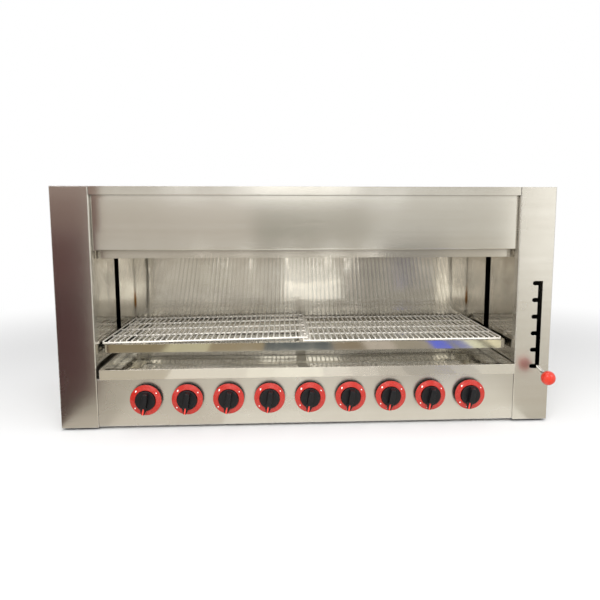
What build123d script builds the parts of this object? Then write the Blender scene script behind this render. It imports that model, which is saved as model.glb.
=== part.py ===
"""Gas cheese melter: a bench-top grill with nine infrared burners in its hood, a rack that is raised
and lowered by a ball-ended lever in a comb slot, a drip tray, and nine taps with red dials.
Millimetres. +Z is up and -Y is the front. The origin lies on the standing plane, in the middle of
the footprint between the lever's ball in front and the gas inlet behind."""

import os
from math import asin, atan, cos, degrees, radians, sin, tan

from build123d import *

os.makedirs("parts", exist_ok=True)

# ---------------------------------------------------------------- driving dimensions
body_width = 1120.0
body_height = 540.0
body_depth = 415.0
foot_height = 6.0

casing_sheet = 1.2  # outer casings, cover, fascia and control panel
liner_sheet = 1.0  # sheets inside the grill
bend_radius = 2.4  # outside radius of a folded corner
panel_gap = 0.3  # sheet set between two others

column_width = 82.8
column_return = 22.0  # the column's edge that is folded back into the cavity
rear_return = 20.0
cover_strip = 18.6  # front edge of the top cover, between the columns

fascia_setback = 12.0
hood_height = 140.3  # from the fascia's foot to the top
fascia_flange = 18.0
skirt_setback = 36.0
skirt_drop = 19.0
skirt_inset = 1.7
skirt_hem = 4.0
deck_clearance = 10.4  # over the gas pipes
panel_lap = 8.0
panel_setback = 1.5
panel_flange = 22.5

duct_depth = 35.0  # behind the cavity
liner_lap = 5.0  # where a side liner starts behind the column's return
burner_plate_rise = 14.1
cleat_leg = 10.0
cleat_height = 15.0
arm_slot_width = 39.0
arm_slot_rear = 177.0  # from its middle to the cavity's back
arm_slot_radius = 3.0
arm_slot_margin = 6.0

# drip tray
tray_side_gap = 4.9
tray_shift = 3.5  # it lies a little to the right in its runners
tray_lip_reach = 8.0
tray_height = 31.1  # its top over the valve deck
tray_pan_depth = 19.5
tray_rim = 7.0
tray_front_rim = 13.0
tray_rear_gap = 8.0
tray_sheet = 1.2
runner_leg = 23.0
runner_upstand = 14.0
runner_sheet = 1.5
runner_front = 26.0
running_gap = 0.3

# rack
rack_side_gap = 6.2
rack_clearance = 46.9  # from the tray's top to the rails' with the rack at its lowest
lifted_gap = 4.1  # from the rails' top to the skirt with the rack at its highest
rail_height = 20.5
rail_depth = 15.0
rail_sheet = 1.5
rail_corner = 4.0
rack_front = 45.0
rack_rear_gap = 8.0
middle_bar_width = 30.0
middle_bar_sheet = 2.0
middle_bar_x = -6.0

# grates
grate_overlap = 12.0  # the left grate lies on the right one
grate_setback = 1.0
grate_rear_gap = 3.0
wire_diameter = 3.5
bar_diameter = 4.5
wire_pitch = 13.0
bar_count = 5
bar_inset = 2.6
left_grate_overhang = 4.0
right_grate_setback = 10.0

# lift: guide rods, carriages and lever
guide_rod_setback = 60.0  # from the casing's side
guide_rod_diameter = 12.0
rod_clearance = 0.05
rod_bracket_sheet = 3.0
rod_bracket_drop = 58.0  # from the rails' top at rest
rod_bracket_gap = 0.8
carriage_width = 24.0
carriage_depth = 36.0
carriage_height = 54.0
clevis_edge = 2.0  # the carriage's block below its lower ear
arm_depth = 30.0
arm_height = 14.0
arm_drop = 1.0  # below the rails' top
bolt_spacing = 18.0
bolt_head = 10.0
bolt_head_height = 4.0
rod_bracket_tab = 20.0

notch_count = 6
notch_drop = 54.4  # from the rails' top to the lever where it leaves the column
notch_height = 10.0
notch_length = 23.5  # with the track
track_width = 10.5
track_setback = 23.4  # from the casing's side
lever_diameter = 8.0
lever_slope = 9.0  # degrees that the lever droops towards its ball
lever_overhang = 66.0  # from the column's face to the middle of the ball, level
lever_pivot_setback = 22.0
lever_hub_diameter = 18.0
lever_hub_height = 15.0
lever_pin_diameter = 8.0
lever_pin_clearance = 0.05
clevis_sheet = 4.0
clevis_end = 10.0
ball_diameter = 32.0
ball_flat = 12.0
ball_bore_depth = 18.0
thread_diameter = 6.0
pin_head_diameter = 12.0
pin_head_height = 2.0

# taps
knob_count = 9
knob_end_inset = 107.6  # from the control panel's end to the first dial
knob_row_shift = 1.4
knob_height = 65.6
bezel_diameter = 69.8
bezel_bore = 46.0
bezel_front = 15.0
bezel_edge = 10.6
bezel_base_front = 9.0
bezel_base_diameter = 68.4
bezel_base_bore = 50.0
knob_diameter = 44.6
knob_face = 19.8
knob_back = 9.2
knob_front = 34.0
knob_grip_width = 13.0
knob_tail_reach = 31.5
knob_tail_width = 17.0
knob_tail_tip = 7.0
knob_tail_front = 23.5
knob_tail_root = 14.0
knob_grip_top = 20.5  # its ends from the spindle
knob_grip_foot = 16.0
knob_grip_taper = 6.0
knob_off_angle = 10.0  # the pointer's tilt from straight down, towards the left
spindle_diameter = 8.0
spindle_front = 24.0
spindle_flat = 2.8
knob_travel = 4.0
spindle_back = 30.0
knob_bore_front = 28.6
tap_clearance = 0.05
panel_hole_diameter = 14.0
tap_width = 26.0
tap_depth = 34.0
tap_height = 30.0
tap_back = 62.0
bonnet_diameter = 20.0
bonnet_front = 8.0
outlet_width = 12.0
outlet_height = 14.0
outlet_depth = 16.0

# gas way and burners
manifold_diameter = 21.3
manifold_foot = 20.0
manifold_foot_sheet = 3.0
manifold_axis = 80.0
manifold_overrun = 30.0
stub_diameter = 12.0
pipe_diameter = 8.0
pipe_nut = 12.0
pipe_elbow = 12.0
hidden_sides = 8  # round stock that is thin or out of sight is drawn with eight flats
riser_setback = 17.0
jet_rail_height = 34.0
jet_rail_sheet = 2.0
jet_block = 14.0
jet_nozzle_diameter = 7.0
jet_nozzle_length = 4.0
inlet_diameter = 18.0
inlet_setback = 98.0  # from the casing's side
inlet_elbow = 25.0
inlet_elbow_round = 5.0
inlet_thread_diameter = 20.955
inlet_thread_length = 20.0
inlet_bore = 14.0
inlet_bore_depth = 40.0
inlet_reach = 28.0
inlet_hole_diameter = 22.0
burner_count = 9
burner_end_gap = 9.2
burner_gap = 6.0
burner_rear_gap = 44.0
burner_height = 45.0
burner_front = 52.0
window_edge = 6.0
window_end = 11.0
tile_edge = 3.0
tile_end = 9.5
tile_thickness = 13.0
tile_gap = 1.0
mixer_width = 28.0
mixer_height = 25.0  # its axis over the burner plate
mixer_length = 52.0
mixer_entry = 4.0

# openings, feet and screws
louvre_length = 70.0
louvre_width = 6.0
louvre_columns = 6
louvre_rows = 2
louvre_end_inset = 170.0
louvre_pitch_y = 24.0
louvre_setback = 65.0  # from the back to the middle of the rows
foot_diameter = 36.0
foot_side_inset = 55.0
foot_front_inset = 48.0
foot_rear_inset = 40.0
screw_flats = 9.0
screw_height = 2.5
side_screw_low = 90.0
side_screw_drop = 40.0  # the highest, from the top
side_screw_setback = 14.0
back_screw_inset = 10.0
back_screw_end = 60.0

# ---------------------------------------------------------------- shared places
fascia_bottom = body_height - hood_height  # heights over the cabinet's underside
skirt_bottom = fascia_bottom - skirt_drop
burner_plate_height = fascia_bottom + burner_plate_rise
pipe_height = knob_height + tap_height / 2 + outlet_height / 2
deck_height = pipe_height + pipe_elbow / 2 + deck_clearance
panel_height = deck_height + panel_lap
tray_top = deck_height + tray_height
tray_lip_height = tray_height - panel_lap - running_gap
rack_top = tray_top + rack_clearance
arm_top = rack_top - arm_drop
notch_low = rack_top - notch_drop
lift_travel = skirt_bottom - lifted_gap - rack_top
notch_pitch = lift_travel / (notch_count - 1)
rod_bracket_low = rack_top - rod_bracket_drop
rod_bracket_high = burner_plate_height - rod_bracket_sheet - rod_bracket_gap
cavity_depth = body_depth - duct_depth  # depths behind the front
arm_slot_centre = cavity_depth - arm_slot_rear
rack_depth = cavity_depth - rack_front - rack_rear_gap
grate_front = rack_front + grate_setback
grate_depth = rack_depth - grate_setback - grate_rear_gap
riser_axis = body_depth - riser_setback
burner_depth = cavity_depth - burner_front - burner_rear_gap
louvre_row_depth = body_depth - louvre_setback
half_width = body_width / 2
cavity_half = half_width - column_width
panel_half = cavity_half - panel_gap
tray_width = 2 * (cavity_half - tray_side_gap)
rack_half_width = cavity_half - rack_side_gap
left_grate_x = -rack_half_width - left_grate_overhang
grate_length = (rack_half_width - right_grate_setback - left_grate_x + grate_overlap) / 2
right_grate_x = left_grate_x + grate_length - grate_overlap
guide_rod_x = half_width - guide_rod_setback
track_right_x = half_width - track_setback
track_left_x = track_right_x - track_width
lever_pivot_x = half_width - lever_pivot_setback
inlet_x = half_width - inlet_setback
knob_pitch = 2 * (cavity_half - knob_end_inset) / (knob_count - 1)
burner_pitch = 2 * (cavity_half - burner_end_gap) / burner_count
burner_width = burner_pitch - burner_gap
window_width = burner_width - 2 * window_edge
window_depth = burner_depth - 2 * window_end
tile_width = burner_width - 2 * tile_edge
tile_length = (burner_depth - 2 * tile_end - tile_gap) / 2
louvre_pitch_x = 2 * (half_width - louvre_end_inset - louvre_length / 2) / (louvre_columns - 1)
side_screw_high = body_height - side_screw_drop
side_screw_heights = (side_screw_low, (side_screw_low + side_screw_high) / 2, side_screw_high)
back_screw_heights = (back_screw_end, body_height - back_screw_end)
ball_radius = ball_diameter / 2
front_y = (lever_overhang + ball_radius - body_depth - inlet_reach) / 2
rear_y = front_y + body_depth
base_z = foot_height
top_z = base_z + body_height
lid_z = top_z - casing_sheet
floor_top = base_z + casing_sheet
side_inner = half_width - casing_sheet
liner_inner = cavity_half + casing_sheet  # cavity face of a side liner
liner_outer = liner_inner + liner_sheet
liner_rear = front_y + cavity_depth + liner_sheet
plate_z = base_z + burner_plate_height
plate_top = plate_z + liner_sheet
deck_z = base_z + deck_height
back_inner = rear_y - casing_sheet - liner_sheet
rod_y = front_y + arm_slot_centre
knob_z = base_z + knob_height
knob_x = [knob_row_shift + (i - (knob_count - 1) / 2) * knob_pitch for i in range(knob_count)]
burner_x = [(i - (burner_count - 1) / 2) * burner_pitch for i in range(burner_count)]
rail_top = base_z + rack_top
rail_bottom = rail_top - rail_height
rack_front_y = front_y + rack_front
rack_rear_y = rack_front_y + rack_depth
arm_z = base_z + arm_top
track_x = (track_left_x + track_right_x) / 2
lever_exit_z = base_z + notch_low
runner_z = base_z + tray_top - tray_pan_depth - running_gap
bolt_z = arm_z - arm_height / 2
outlet_z = base_z + pipe_height
mixer_z = plate_top + mixer_height
burner_middle = front_y + burner_front + burner_depth / 2
burner_rear = front_y + burner_front + burner_depth
jet_rail_front = back_inner - jet_rail_sheet

# The lever's rod points from its pivot through the middle of the track, and droops forwards.
lever_turn = atan((lever_pivot_x - track_x) / arm_slot_centre)
pivot_z = lever_exit_z + arm_slot_centre / cos(lever_turn) * tan(radians(lever_slope))
hub_bottom = pivot_z - lever_hub_height / 2
hub_top = pivot_z + lever_hub_height / 2
carriage_z = hub_bottom - running_gap - clevis_sheet - clevis_edge
lever_plane = Plane(
    origin=(lever_pivot_x, rod_y, pivot_z),
    x_dir=(cos(lever_turn), -sin(lever_turn), 0),
    z_dir=(-sin(lever_turn), -cos(lever_turn), -tan(radians(lever_slope))),
)
ball_distance = (arm_slot_centre + lever_overhang) / cos(lever_turn) / cos(radians(lever_slope))
rod_length = ball_distance - (ball_radius**2 - (ball_flat / 2) ** 2) ** 0.5


def save(part, name):
    part.label = name
    export_step(part, f"parts/{name}.step")


def solids_of(parts):
    """The separate solids of one node, unfused."""
    return Compound([solid for part in parts for solid in part.solids()])


# ---------------------------------------------------------------- cabinet
def side_casing(side):
    """One sheet folded to the column's front, its cavity edge, the side and a rear return."""
    with BuildPart() as casing:
        with BuildSketch(Plane.XY.offset(base_z)):
            with BuildLine():
                edge = FilletPolyline(
                    (side * cavity_half, front_y + column_return),
                    (side * cavity_half, front_y),
                    (side * half_width, front_y),
                    (side * half_width, rear_y),
                    (side * (half_width - rear_return), rear_y),
                    radius=bend_radius,
                )
                offset(edge, amount=casing_sheet, side=Side.LEFT if side > 0 else Side.RIGHT)
            make_face()
        extrude(amount=lid_z - base_z)
        if side > 0:
            with BuildSketch(Plane.XZ.offset(-front_y)):
                comb_slot()
            extrude(amount=casing_sheet, both=True, mode=Mode.SUBTRACT)
    return casing.part


def comb_slot():
    """The lever's track with a round-ended notch for each height of the rack."""
    low = lever_exit_z - notch_height / 2
    high = lever_exit_z + lift_travel + notch_height / 2
    with Locations((track_x, (low + high) / 2)):
        Rectangle(track_right_x - track_left_x, high - low)
    for i in range(notch_count):
        with Locations((track_right_x - notch_length / 2, lever_exit_z + i * notch_pitch)):
            SlotOverall(notch_length, notch_height)


save(side_casing(-1), "left_side_casing")
save(side_casing(1), "right_side_casing")

with BuildPart() as top_cover:
    with BuildSketch(Plane.XY.offset(lid_z)):
        with Locations((0, (front_y + rear_y) / 2)):
            RectangleRounded(body_width, body_depth, bend_radius)
    extrude(amount=casing_sheet)
    with BuildSketch(Plane.YZ.offset(-panel_half)):
        strip_bottom = top_z - cover_strip
        with BuildLine():
            strip = Polyline(
                (front_y, lid_z),
                (front_y, strip_bottom),
                (front_y + fascia_setback, strip_bottom),
            )
            offset(strip, amount=casing_sheet, side=Side.LEFT)
        make_face()
    extrude(amount=2 * panel_half)
    with BuildSketch(Plane.XY.offset(lid_z)):
        with Locations((0, front_y + louvre_row_depth)):
            with GridLocations(louvre_pitch_x, louvre_pitch_y, louvre_columns, louvre_rows):
                Rectangle(louvre_length, louvre_width)
    extrude(amount=casing_sheet, mode=Mode.SUBTRACT)
save(top_cover.part, "top_cover")

with BuildPart() as base_pan:
    pan_front = front_y + column_return + panel_gap
    pan_middle = (pan_front + back_inner) / 2
    with BuildSketch(Plane.XY.offset(base_z)):
        with Locations((0, pan_middle)):
            RectangleRounded(2 * side_inner, back_inner - pan_front, bend_radius)
    extrude(amount=rear_return)
    with BuildSketch(Plane.XY.offset(floor_top)):
        with Locations((0, pan_middle - casing_sheet)):
            Rectangle(2 * (side_inner - casing_sheet), back_inner - pan_front)
    extrude(amount=rear_return, mode=Mode.SUBTRACT)
save(base_pan.part, "base_pan")

with BuildPart() as back_panel:
    with BuildSketch(Plane.XZ.offset(-back_inner)):
        with Locations((0, (base_z + lid_z) / 2)):
            Rectangle(2 * (half_width - bend_radius), lid_z - base_z)
        with Locations((inlet_x, knob_z)):
            Circle(inlet_hole_diameter / 2, mode=Mode.SUBTRACT)
    extrude(amount=-liner_sheet)
save(back_panel.part, "back_panel")

with BuildPart() as control_panel:
    panel_front = front_y + panel_setback
    with BuildSketch(Plane.YZ.offset(-panel_half)):
        with BuildLine():
            fold = FilletPolyline(
                (panel_front + panel_flange, floor_top),
                (panel_front, floor_top),
                (panel_front, base_z + panel_height),
                (panel_front + panel_flange, base_z + panel_height),
                radius=bend_radius,
            )
            offset(fold, amount=casing_sheet, side=Side.RIGHT)
        make_face()
    extrude(amount=2 * panel_half)
    with BuildSketch(Plane.XZ.offset(-panel_front)):
        with Locations([(x, knob_z) for x in knob_x]):
            RegularPolygon(panel_hole_diameter / 2, hidden_sides)
    extrude(amount=2 * casing_sheet, both=True, mode=Mode.SUBTRACT)
save(control_panel.part, "control_panel")

with BuildPart() as hood_fascia:
    fascia_front = front_y + fascia_setback
    fascia_z = base_z + fascia_bottom
    with BuildSketch(Plane.YZ.offset(-panel_half)):
        with BuildLine():
            fold = FilletPolyline(
                (front_y + skirt_setback, fascia_z),
                (fascia_front, fascia_z),
                (fascia_front, lid_z),
                (fascia_front + fascia_flange, lid_z),
                radius=bend_radius,
            )
            offset(fold, amount=casing_sheet, side=Side.RIGHT)
        make_face()
    extrude(amount=2 * panel_half)
save(hood_fascia.part, "hood_fascia")


# ---------------------------------------------------------------- cavity
def side_liner(side):
    """Mirror-bright side wall of the cavity, with the slot that the rack's arm runs in."""
    slot_low = arm_z - arm_height - arm_slot_margin
    slot_high = arm_z + lift_travel + arm_slot_margin
    liner_front = front_y + liner_lap
    liner_top = plate_top + cleat_height
    with BuildPart() as liner:
        with BuildSketch(Plane.YZ.offset(liner_inner if side > 0 else -liner_outer)):
            with Locations(((liner_front + liner_rear) / 2, (floor_top + liner_top) / 2)):
                Rectangle(liner_rear - liner_front, liner_top - floor_top)
            with Locations((rod_y, (slot_low + slot_high) / 2)):
                RectangleRounded(
                    arm_slot_width, slot_high - slot_low, arm_slot_radius, mode=Mode.SUBTRACT
                )
        extrude(amount=liner_sheet)
    return liner.part


save(side_liner(-1), "left_cavity_liner")
save(side_liner(1), "right_cavity_liner")

with BuildPart() as back_liner:
    with BuildSketch(Plane.XZ.offset(-(front_y + cavity_depth))):
        with Locations((0, (deck_z + liner_sheet + plate_z) / 2)):
            Rectangle(2 * liner_inner, plate_z - deck_z - liner_sheet)
    extrude(amount=-liner_sheet)
save(back_liner.part, "back_cavity_liner")

with BuildPart() as valve_deck:
    deck_front = panel_front + panel_flange
    with BuildSketch(Plane.YZ.offset(-liner_inner)):
        with BuildLine():
            fold = Polyline(
                (deck_front, base_z + panel_height),
                (deck_front, deck_z),
                (liner_rear, deck_z),
            )
            offset(fold, amount=liner_sheet, side=Side.LEFT)
        make_face()
    extrude(amount=2 * liner_inner)
save(valve_deck.part, "valve_deck")


def tray_runner(side):
    """Angle on the cavity's side wall that the drip tray slides on."""
    with BuildPart() as runner:
        with BuildSketch(Plane.XZ.offset(-(front_y + runner_front))):
            with Locations((side * (liner_inner - runner_leg / 2), runner_z - runner_sheet / 2)):
                Rectangle(runner_leg, runner_sheet)
            with Locations((side * (liner_inner - runner_sheet / 2), runner_z + runner_upstand / 2)):
                Rectangle(runner_sheet, runner_upstand)
        extrude(amount=-(cavity_depth - runner_front))
    return runner.part


save(solids_of([tray_runner(-1), tray_runner(1)]), "tray_runners")

with BuildPart() as burner_plate:
    skirt_front = front_y + skirt_setback
    plate_front = skirt_front + liner_sheet
    with BuildSketch(Plane.XY.offset(plate_z)):
        with Locations((0, (plate_front + liner_rear) / 2)):
            Rectangle(2 * liner_inner, liner_rear - plate_front)
        with Locations([(x, burner_middle) for x in burner_x]):
            Rectangle(window_width, window_depth, mode=Mode.SUBTRACT)
    extrude(amount=liner_sheet)
save(burner_plate.part, "burner_plate")


def burner_plate_cleat(side):
    """Angle that holds one end of the burner plate to the side liner."""
    with BuildPart() as cleat:
        with BuildSketch(Plane.XZ.offset(-plate_front)):
            with Locations((side * (liner_inner - cleat_leg / 2), plate_top + liner_sheet / 2)):
                Rectangle(cleat_leg, liner_sheet)
            with Locations((side * (liner_inner - liner_sheet / 2), plate_top + cleat_height / 2)):
                Rectangle(liner_sheet, cleat_height)
        extrude(amount=-(liner_rear - plate_front))
    return cleat.part


save(solids_of([burner_plate_cleat(-1), burner_plate_cleat(1)]), "burner_plate_cleats")

with BuildPart() as hood_skirt:
    skirt_z = base_z + skirt_bottom
    with BuildSketch(Plane.YZ.offset(-(liner_inner - skirt_inset))):
        with BuildLine():
            skirt = Polyline(
                (skirt_front, plate_top),
                (skirt_front, skirt_z),
                (skirt_front + skirt_hem, skirt_z),
                (skirt_front + skirt_hem, skirt_z + skirt_hem),
            )
            offset(skirt, amount=liner_sheet, side=Side.LEFT)
        make_face()
    extrude(amount=2 * (liner_inner - skirt_inset))
save(hood_skirt.part, "hood_skirt")


# ---------------------------------------------------------------- burners and gas way
with BuildPart() as burner_housing:
    with BuildSketch(Plane.XY.offset(plate_top)):
        with Locations((0, burner_middle)):
            Rectangle(burner_width, burner_depth)
    extrude(amount=burner_height)
    offset(amount=-liner_sheet, openings=burner_housing.faces().sort_by(Axis.Z)[0])
    with BuildSketch(Plane.XZ.offset(-burner_rear)):
        with Locations((0, mixer_z)):
            Rectangle(mixer_width, mixer_width)
    extrude(amount=2 * liner_sheet, both=True, mode=Mode.SUBTRACT)

with BuildPart() as tile_pair:
    with BuildSketch(Plane.XY.offset(plate_top)):
        with Locations((0, burner_middle)):
            with GridLocations(0, tile_length + tile_gap, 1, 2):
                Rectangle(tile_width, tile_length)
    extrude(amount=tile_thickness)

with BuildPart() as mixer_throat:
    with BuildSketch(Plane.XZ.offset(-(burner_rear - mixer_entry))):
        with Locations((0, mixer_z)):
            Rectangle(mixer_width, mixer_width)
            Rectangle(
                mixer_width - 2 * liner_sheet, mixer_width - 2 * liner_sheet, mode=Mode.SUBTRACT
            )
    extrude(amount=-mixer_length)

with BuildPart() as gas_jet:
    jet_front = front_y + riser_axis - jet_block / 2
    with BuildSketch(Plane.XZ.offset(-jet_front)):
        with Locations((0, mixer_z)):
            Rectangle(jet_block, jet_block)
    extrude(amount=-(jet_rail_front - jet_front))
    with BuildSketch(Plane.XZ.offset(-jet_front)):
        with Locations((0, mixer_z)):
            RegularPolygon(jet_nozzle_diameter / 2, 6)
    extrude(amount=jet_nozzle_length)


def one_per_burner(part):
    return solids_of([part.moved(Location((x, 0, 0))) for x in burner_x])


save(one_per_burner(burner_housing.part), "burner_housings")
save(one_per_burner(tile_pair.part), "ceramic_tiles")
save(one_per_burner(mixer_throat.part), "mixer_throats")
save(one_per_burner(gas_jet.part), "gas_jets")

with BuildPart() as jet_rail:
    with BuildSketch(Plane.XZ.offset(-jet_rail_front)):
        with Locations((0, mixer_z)):
            Rectangle(2 * liner_inner, jet_rail_height)
    extrude(amount=-jet_rail_sheet)
save(jet_rail.part, "jet_rail")


def burner_pipe(tap, burner):
    """From a tap's outlet nut back under the deck, then up the duct to the burner's jet."""
    start = Vector(tap, front_y + tap_back + pipe_nut / 2, outlet_z)
    corner = Vector(burner, front_y + riser_axis, outlet_z)
    with BuildPart() as pipe:
        with BuildSketch(Plane.XZ.offset(-(front_y + tap_back))):
            with Locations((tap, outlet_z)):
                RegularPolygon(pipe_nut / 2, 6)
        extrude(amount=-pipe_nut)
        with BuildSketch(Plane(origin=start, z_dir=corner - start)):
            RegularPolygon(pipe_diameter / 2, hidden_sides)
        extrude(amount=(corner - start).length)
        with BuildSketch(Plane.XY.offset(outlet_z - pipe_elbow / 2)):
            with Locations((burner, front_y + riser_axis)):
                Rectangle(pipe_elbow, pipe_elbow)
        extrude(amount=pipe_elbow)
        with BuildSketch(Plane.XY.offset(outlet_z)):
            with Locations((burner, front_y + riser_axis)):
                RegularPolygon(pipe_diameter / 2, hidden_sides)
        extrude(amount=mixer_z - jet_block / 2 - outlet_z)
    return pipe.part


save(solids_of([burner_pipe(x, b) for x, b in zip(knob_x, burner_x)]), "burner_pipes")

with BuildPart() as gas_manifold:
    manifold_y = front_y + manifold_axis
    manifold_left = knob_x[0] - manifold_overrun
    manifold_right = knob_x[-1] + manifold_overrun
    with BuildSketch(Plane.YZ.offset(manifold_left)):
        with Locations((manifold_y, knob_z)):
            Circle(manifold_diameter / 2)
    extrude(amount=manifold_right - manifold_left)
    with BuildSketch(Plane.XY.offset(floor_top)):
        for x in (manifold_left + manifold_foot / 2, manifold_right - manifold_foot / 2):
            with Locations((x, manifold_y)):
                Rectangle(manifold_foot, manifold_foot_sheet)
    extrude(amount=knob_z - floor_top)
save(gas_manifold.part, "gas_manifold")

with BuildPart() as gas_inlet:
    thread_start = rear_y + inlet_reach - inlet_thread_length
    with BuildSketch(Plane.YZ.offset(manifold_right)):
        with Locations((manifold_y, knob_z)):
            Circle(inlet_diameter / 2)
    extrude(amount=inlet_x - manifold_right)
    with BuildSketch(Plane.XY.offset(knob_z - inlet_elbow / 2)):
        with Locations((inlet_x, manifold_y)):
            RectangleRounded(inlet_elbow, inlet_elbow, inlet_elbow_round)
    extrude(amount=inlet_elbow)
    with BuildSketch(Plane.XZ.offset(-manifold_y)):
        with Locations((inlet_x, knob_z)):
            Circle(inlet_diameter / 2)
    extrude(amount=-(thread_start - manifold_y))
    with BuildSketch(Plane.XZ.offset(-thread_start)):
        with Locations((inlet_x, knob_z)):
            Circle(inlet_thread_diameter / 2)
    extrude(amount=-inlet_thread_length)
    with BuildSketch(Plane.XZ.offset(-(rear_y + inlet_reach))):
        with Locations((inlet_x, knob_z)):
            Circle(inlet_bore / 2)
    extrude(amount=inlet_bore_depth, mode=Mode.SUBTRACT)
save(gas_inlet.part, "gas_inlet")


# ---------------------------------------------------------------- taps, dials and knobs
with BuildPart() as gas_tap:
    tap_front = tap_back - tap_depth
    with BuildSketch(Plane.XZ.offset(-tap_front)):
        Rectangle(tap_width, tap_height)
    extrude(amount=-tap_depth)
    with BuildSketch(Plane.XZ.offset(-tap_front)):
        RegularPolygon(bonnet_diameter / 2, 6)
    extrude(amount=tap_front - bonnet_front)
    with BuildSketch(Plane.XZ.offset(-bonnet_front)):
        Circle(spindle_diameter / 2 + tap_clearance)
    extrude(amount=-(spindle_back + panel_gap - bonnet_front), mode=Mode.SUBTRACT)
    with BuildSketch(Plane.XZ.offset(-tap_back)):
        RegularPolygon(stub_diameter / 2, 6)
    extrude(amount=-(manifold_axis - manifold_diameter / 2 - tap_back))
    with BuildSketch(Plane.XY.offset(tap_height / 2)):
        with Locations((0, tap_back - outlet_depth / 2)):
            Rectangle(outlet_width, outlet_depth)
    extrude(amount=outlet_height)

with BuildPart() as bezel_base:
    with BuildSketch(Plane.XZ.offset(-panel_setback)):
        Circle(bezel_base_diameter / 2)
        Circle(bezel_base_bore / 2, mode=Mode.SUBTRACT)
    extrude(amount=bezel_base_front + panel_setback)

with BuildPart() as dial_bezel:
    with BuildSketch(Plane.XY):
        with BuildLine():
            Polyline(
                (bezel_bore / 2, -bezel_base_front),
                (bezel_diameter / 2, -bezel_base_front),
                (bezel_diameter / 2, -bezel_edge),
                (bezel_bore / 2, -bezel_front),
                close=True,
            )
        make_face()
    revolve(axis=Axis.Y)

with BuildPart() as spindle:
    with BuildSketch(Plane.XZ.offset(-spindle_back)):
        Circle(spindle_diameter / 2)
    extrude(amount=spindle_back + spindle_front)
    flat_start = knob_back - knob_travel - panel_gap
    with BuildSketch(Plane.XZ.offset(flat_start)):
        with Locations((0, spindle_flat + spindle_diameter / 2)):
            Rectangle(spindle_diameter, spindle_diameter)
    extrude(amount=spindle_front - flat_start, mode=Mode.SUBTRACT)

with BuildPart() as knob:
    with BuildSketch(Plane.XZ.offset(knob_back)):
        Circle(knob_diameter / 2)
    extrude(amount=knob_face - knob_back)
    with BuildSketch(Plane.XZ.offset(knob_face)):
        with Locations((0, (knob_grip_top - knob_grip_foot) / 2)):
            Rectangle(knob_grip_width, knob_grip_top + knob_grip_foot)
    extrude(amount=knob_front - knob_face, taper=knob_grip_taper)
    with BuildSketch(Plane.XZ.offset(knob_face)):
        with BuildLine():
            Polyline(
                (-knob_tail_width / 2, -knob_tail_root),
                (knob_tail_width / 2, -knob_tail_root),
                (knob_tail_tip / 2, -knob_tail_reach),
                (-knob_tail_tip / 2, -knob_tail_reach),
                close=True,
            )
        make_face()
    extrude(amount=knob_tail_front - knob_face)
    with BuildSketch(Plane.XZ.offset(knob_back)):
        Circle(spindle_diameter / 2 + tap_clearance)
        with Locations((0, spindle_flat + tap_clearance + spindle_diameter / 2)):
            Rectangle(spindle_diameter + 1, spindle_diameter, mode=Mode.SUBTRACT)
    extrude(amount=knob_bore_front - knob_back, mode=Mode.SUBTRACT)


def at_taps(part, turn=0):
    """A copy at each tap, turned clockwise by turn degrees as seen from the front."""
    return [part.moved(Location((x, front_y, knob_z), (0, turn, 0))) for x in knob_x]


save(solids_of(at_taps(gas_tap.part)), "gas_taps")
save(solids_of(at_taps(bezel_base.part)), "bezel_bases")
save(solids_of(at_taps(dial_bezel.part)), "dial_bezels")
for number, stem in enumerate(at_taps(spindle.part, knob_off_angle), start=1):
    save(stem, f"tap_spindle_{number}")
for number, grip in enumerate(at_taps(knob.part, knob_off_angle), start=1):
    save(grip, f"knob_{number}")


# ---------------------------------------------------------------- drip tray
with BuildPart() as drip_tray:
    tray_z = base_z + tray_top
    lip_front = front_y - tray_lip_reach
    pan_start = lip_front + tray_front_rim
    pan_end = front_y + cavity_depth - tray_rear_gap - tray_rim
    pan_width = tray_width - 2 * tray_rim
    rim_middle = (lip_front + pan_end + tray_rim) / 2
    with BuildSketch(Plane.XY.offset(tray_z - tray_sheet)):
        with Locations((tray_shift, rim_middle)):
            Rectangle(tray_width, pan_end + tray_rim - lip_front)
    extrude(amount=tray_sheet)
    with BuildSketch(Plane.XY.offset(tray_z - tray_pan_depth)):
        with Locations((tray_shift, (pan_start + pan_end) / 2)):
            Rectangle(pan_width, pan_end - pan_start)
    extrude(amount=tray_pan_depth)
    with BuildSketch(Plane.XY.offset(tray_z - tray_pan_depth + tray_sheet)):
        with Locations((tray_shift, (pan_start + pan_end) / 2)):
            Rectangle(pan_width - 2 * tray_sheet, pan_end - pan_start - 2 * tray_sheet)
    extrude(amount=tray_pan_depth, mode=Mode.SUBTRACT)
    with BuildSketch(Plane.XZ.offset(-lip_front)):
        with Locations((tray_shift, tray_z - tray_lip_height / 2)):
            Rectangle(tray_width, tray_lip_height)
    extrude(amount=-tray_sheet)
save(drip_tray.part, "drip_tray")


# ---------------------------------------------------------------- rack
with BuildPart() as front_rail:
    with BuildSketch(Plane.XY.offset(rail_bottom)):
        with Locations((0, rack_front_y + rail_depth / 2)):
            Rectangle(2 * rack_half_width, rail_depth)
    extrude(amount=rail_height)
    ends = front_rail.edges().filter_by(Axis.Z).sort_by(Axis.Y)[:2]
    fillet(ends, rail_corner)
    offset(amount=-rail_sheet, openings=front_rail.faces().sort_by(Axis.Y)[-1])
save(front_rail.part, "rack_front_rail")

with BuildPart() as rear_rail:
    with BuildSketch(Plane.YZ.offset(-rack_half_width)):
        with BuildLine():
            fold = Polyline(
                (rack_rear_y, rail_bottom),
                (rack_rear_y, rail_top),
                (rack_rear_y - rail_depth, rail_top),
            )
            offset(fold, amount=rail_sheet, side=Side.LEFT)
        make_face()
    extrude(amount=2 * rack_half_width)
save(rear_rail.part, "rack_rear_rail")


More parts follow.
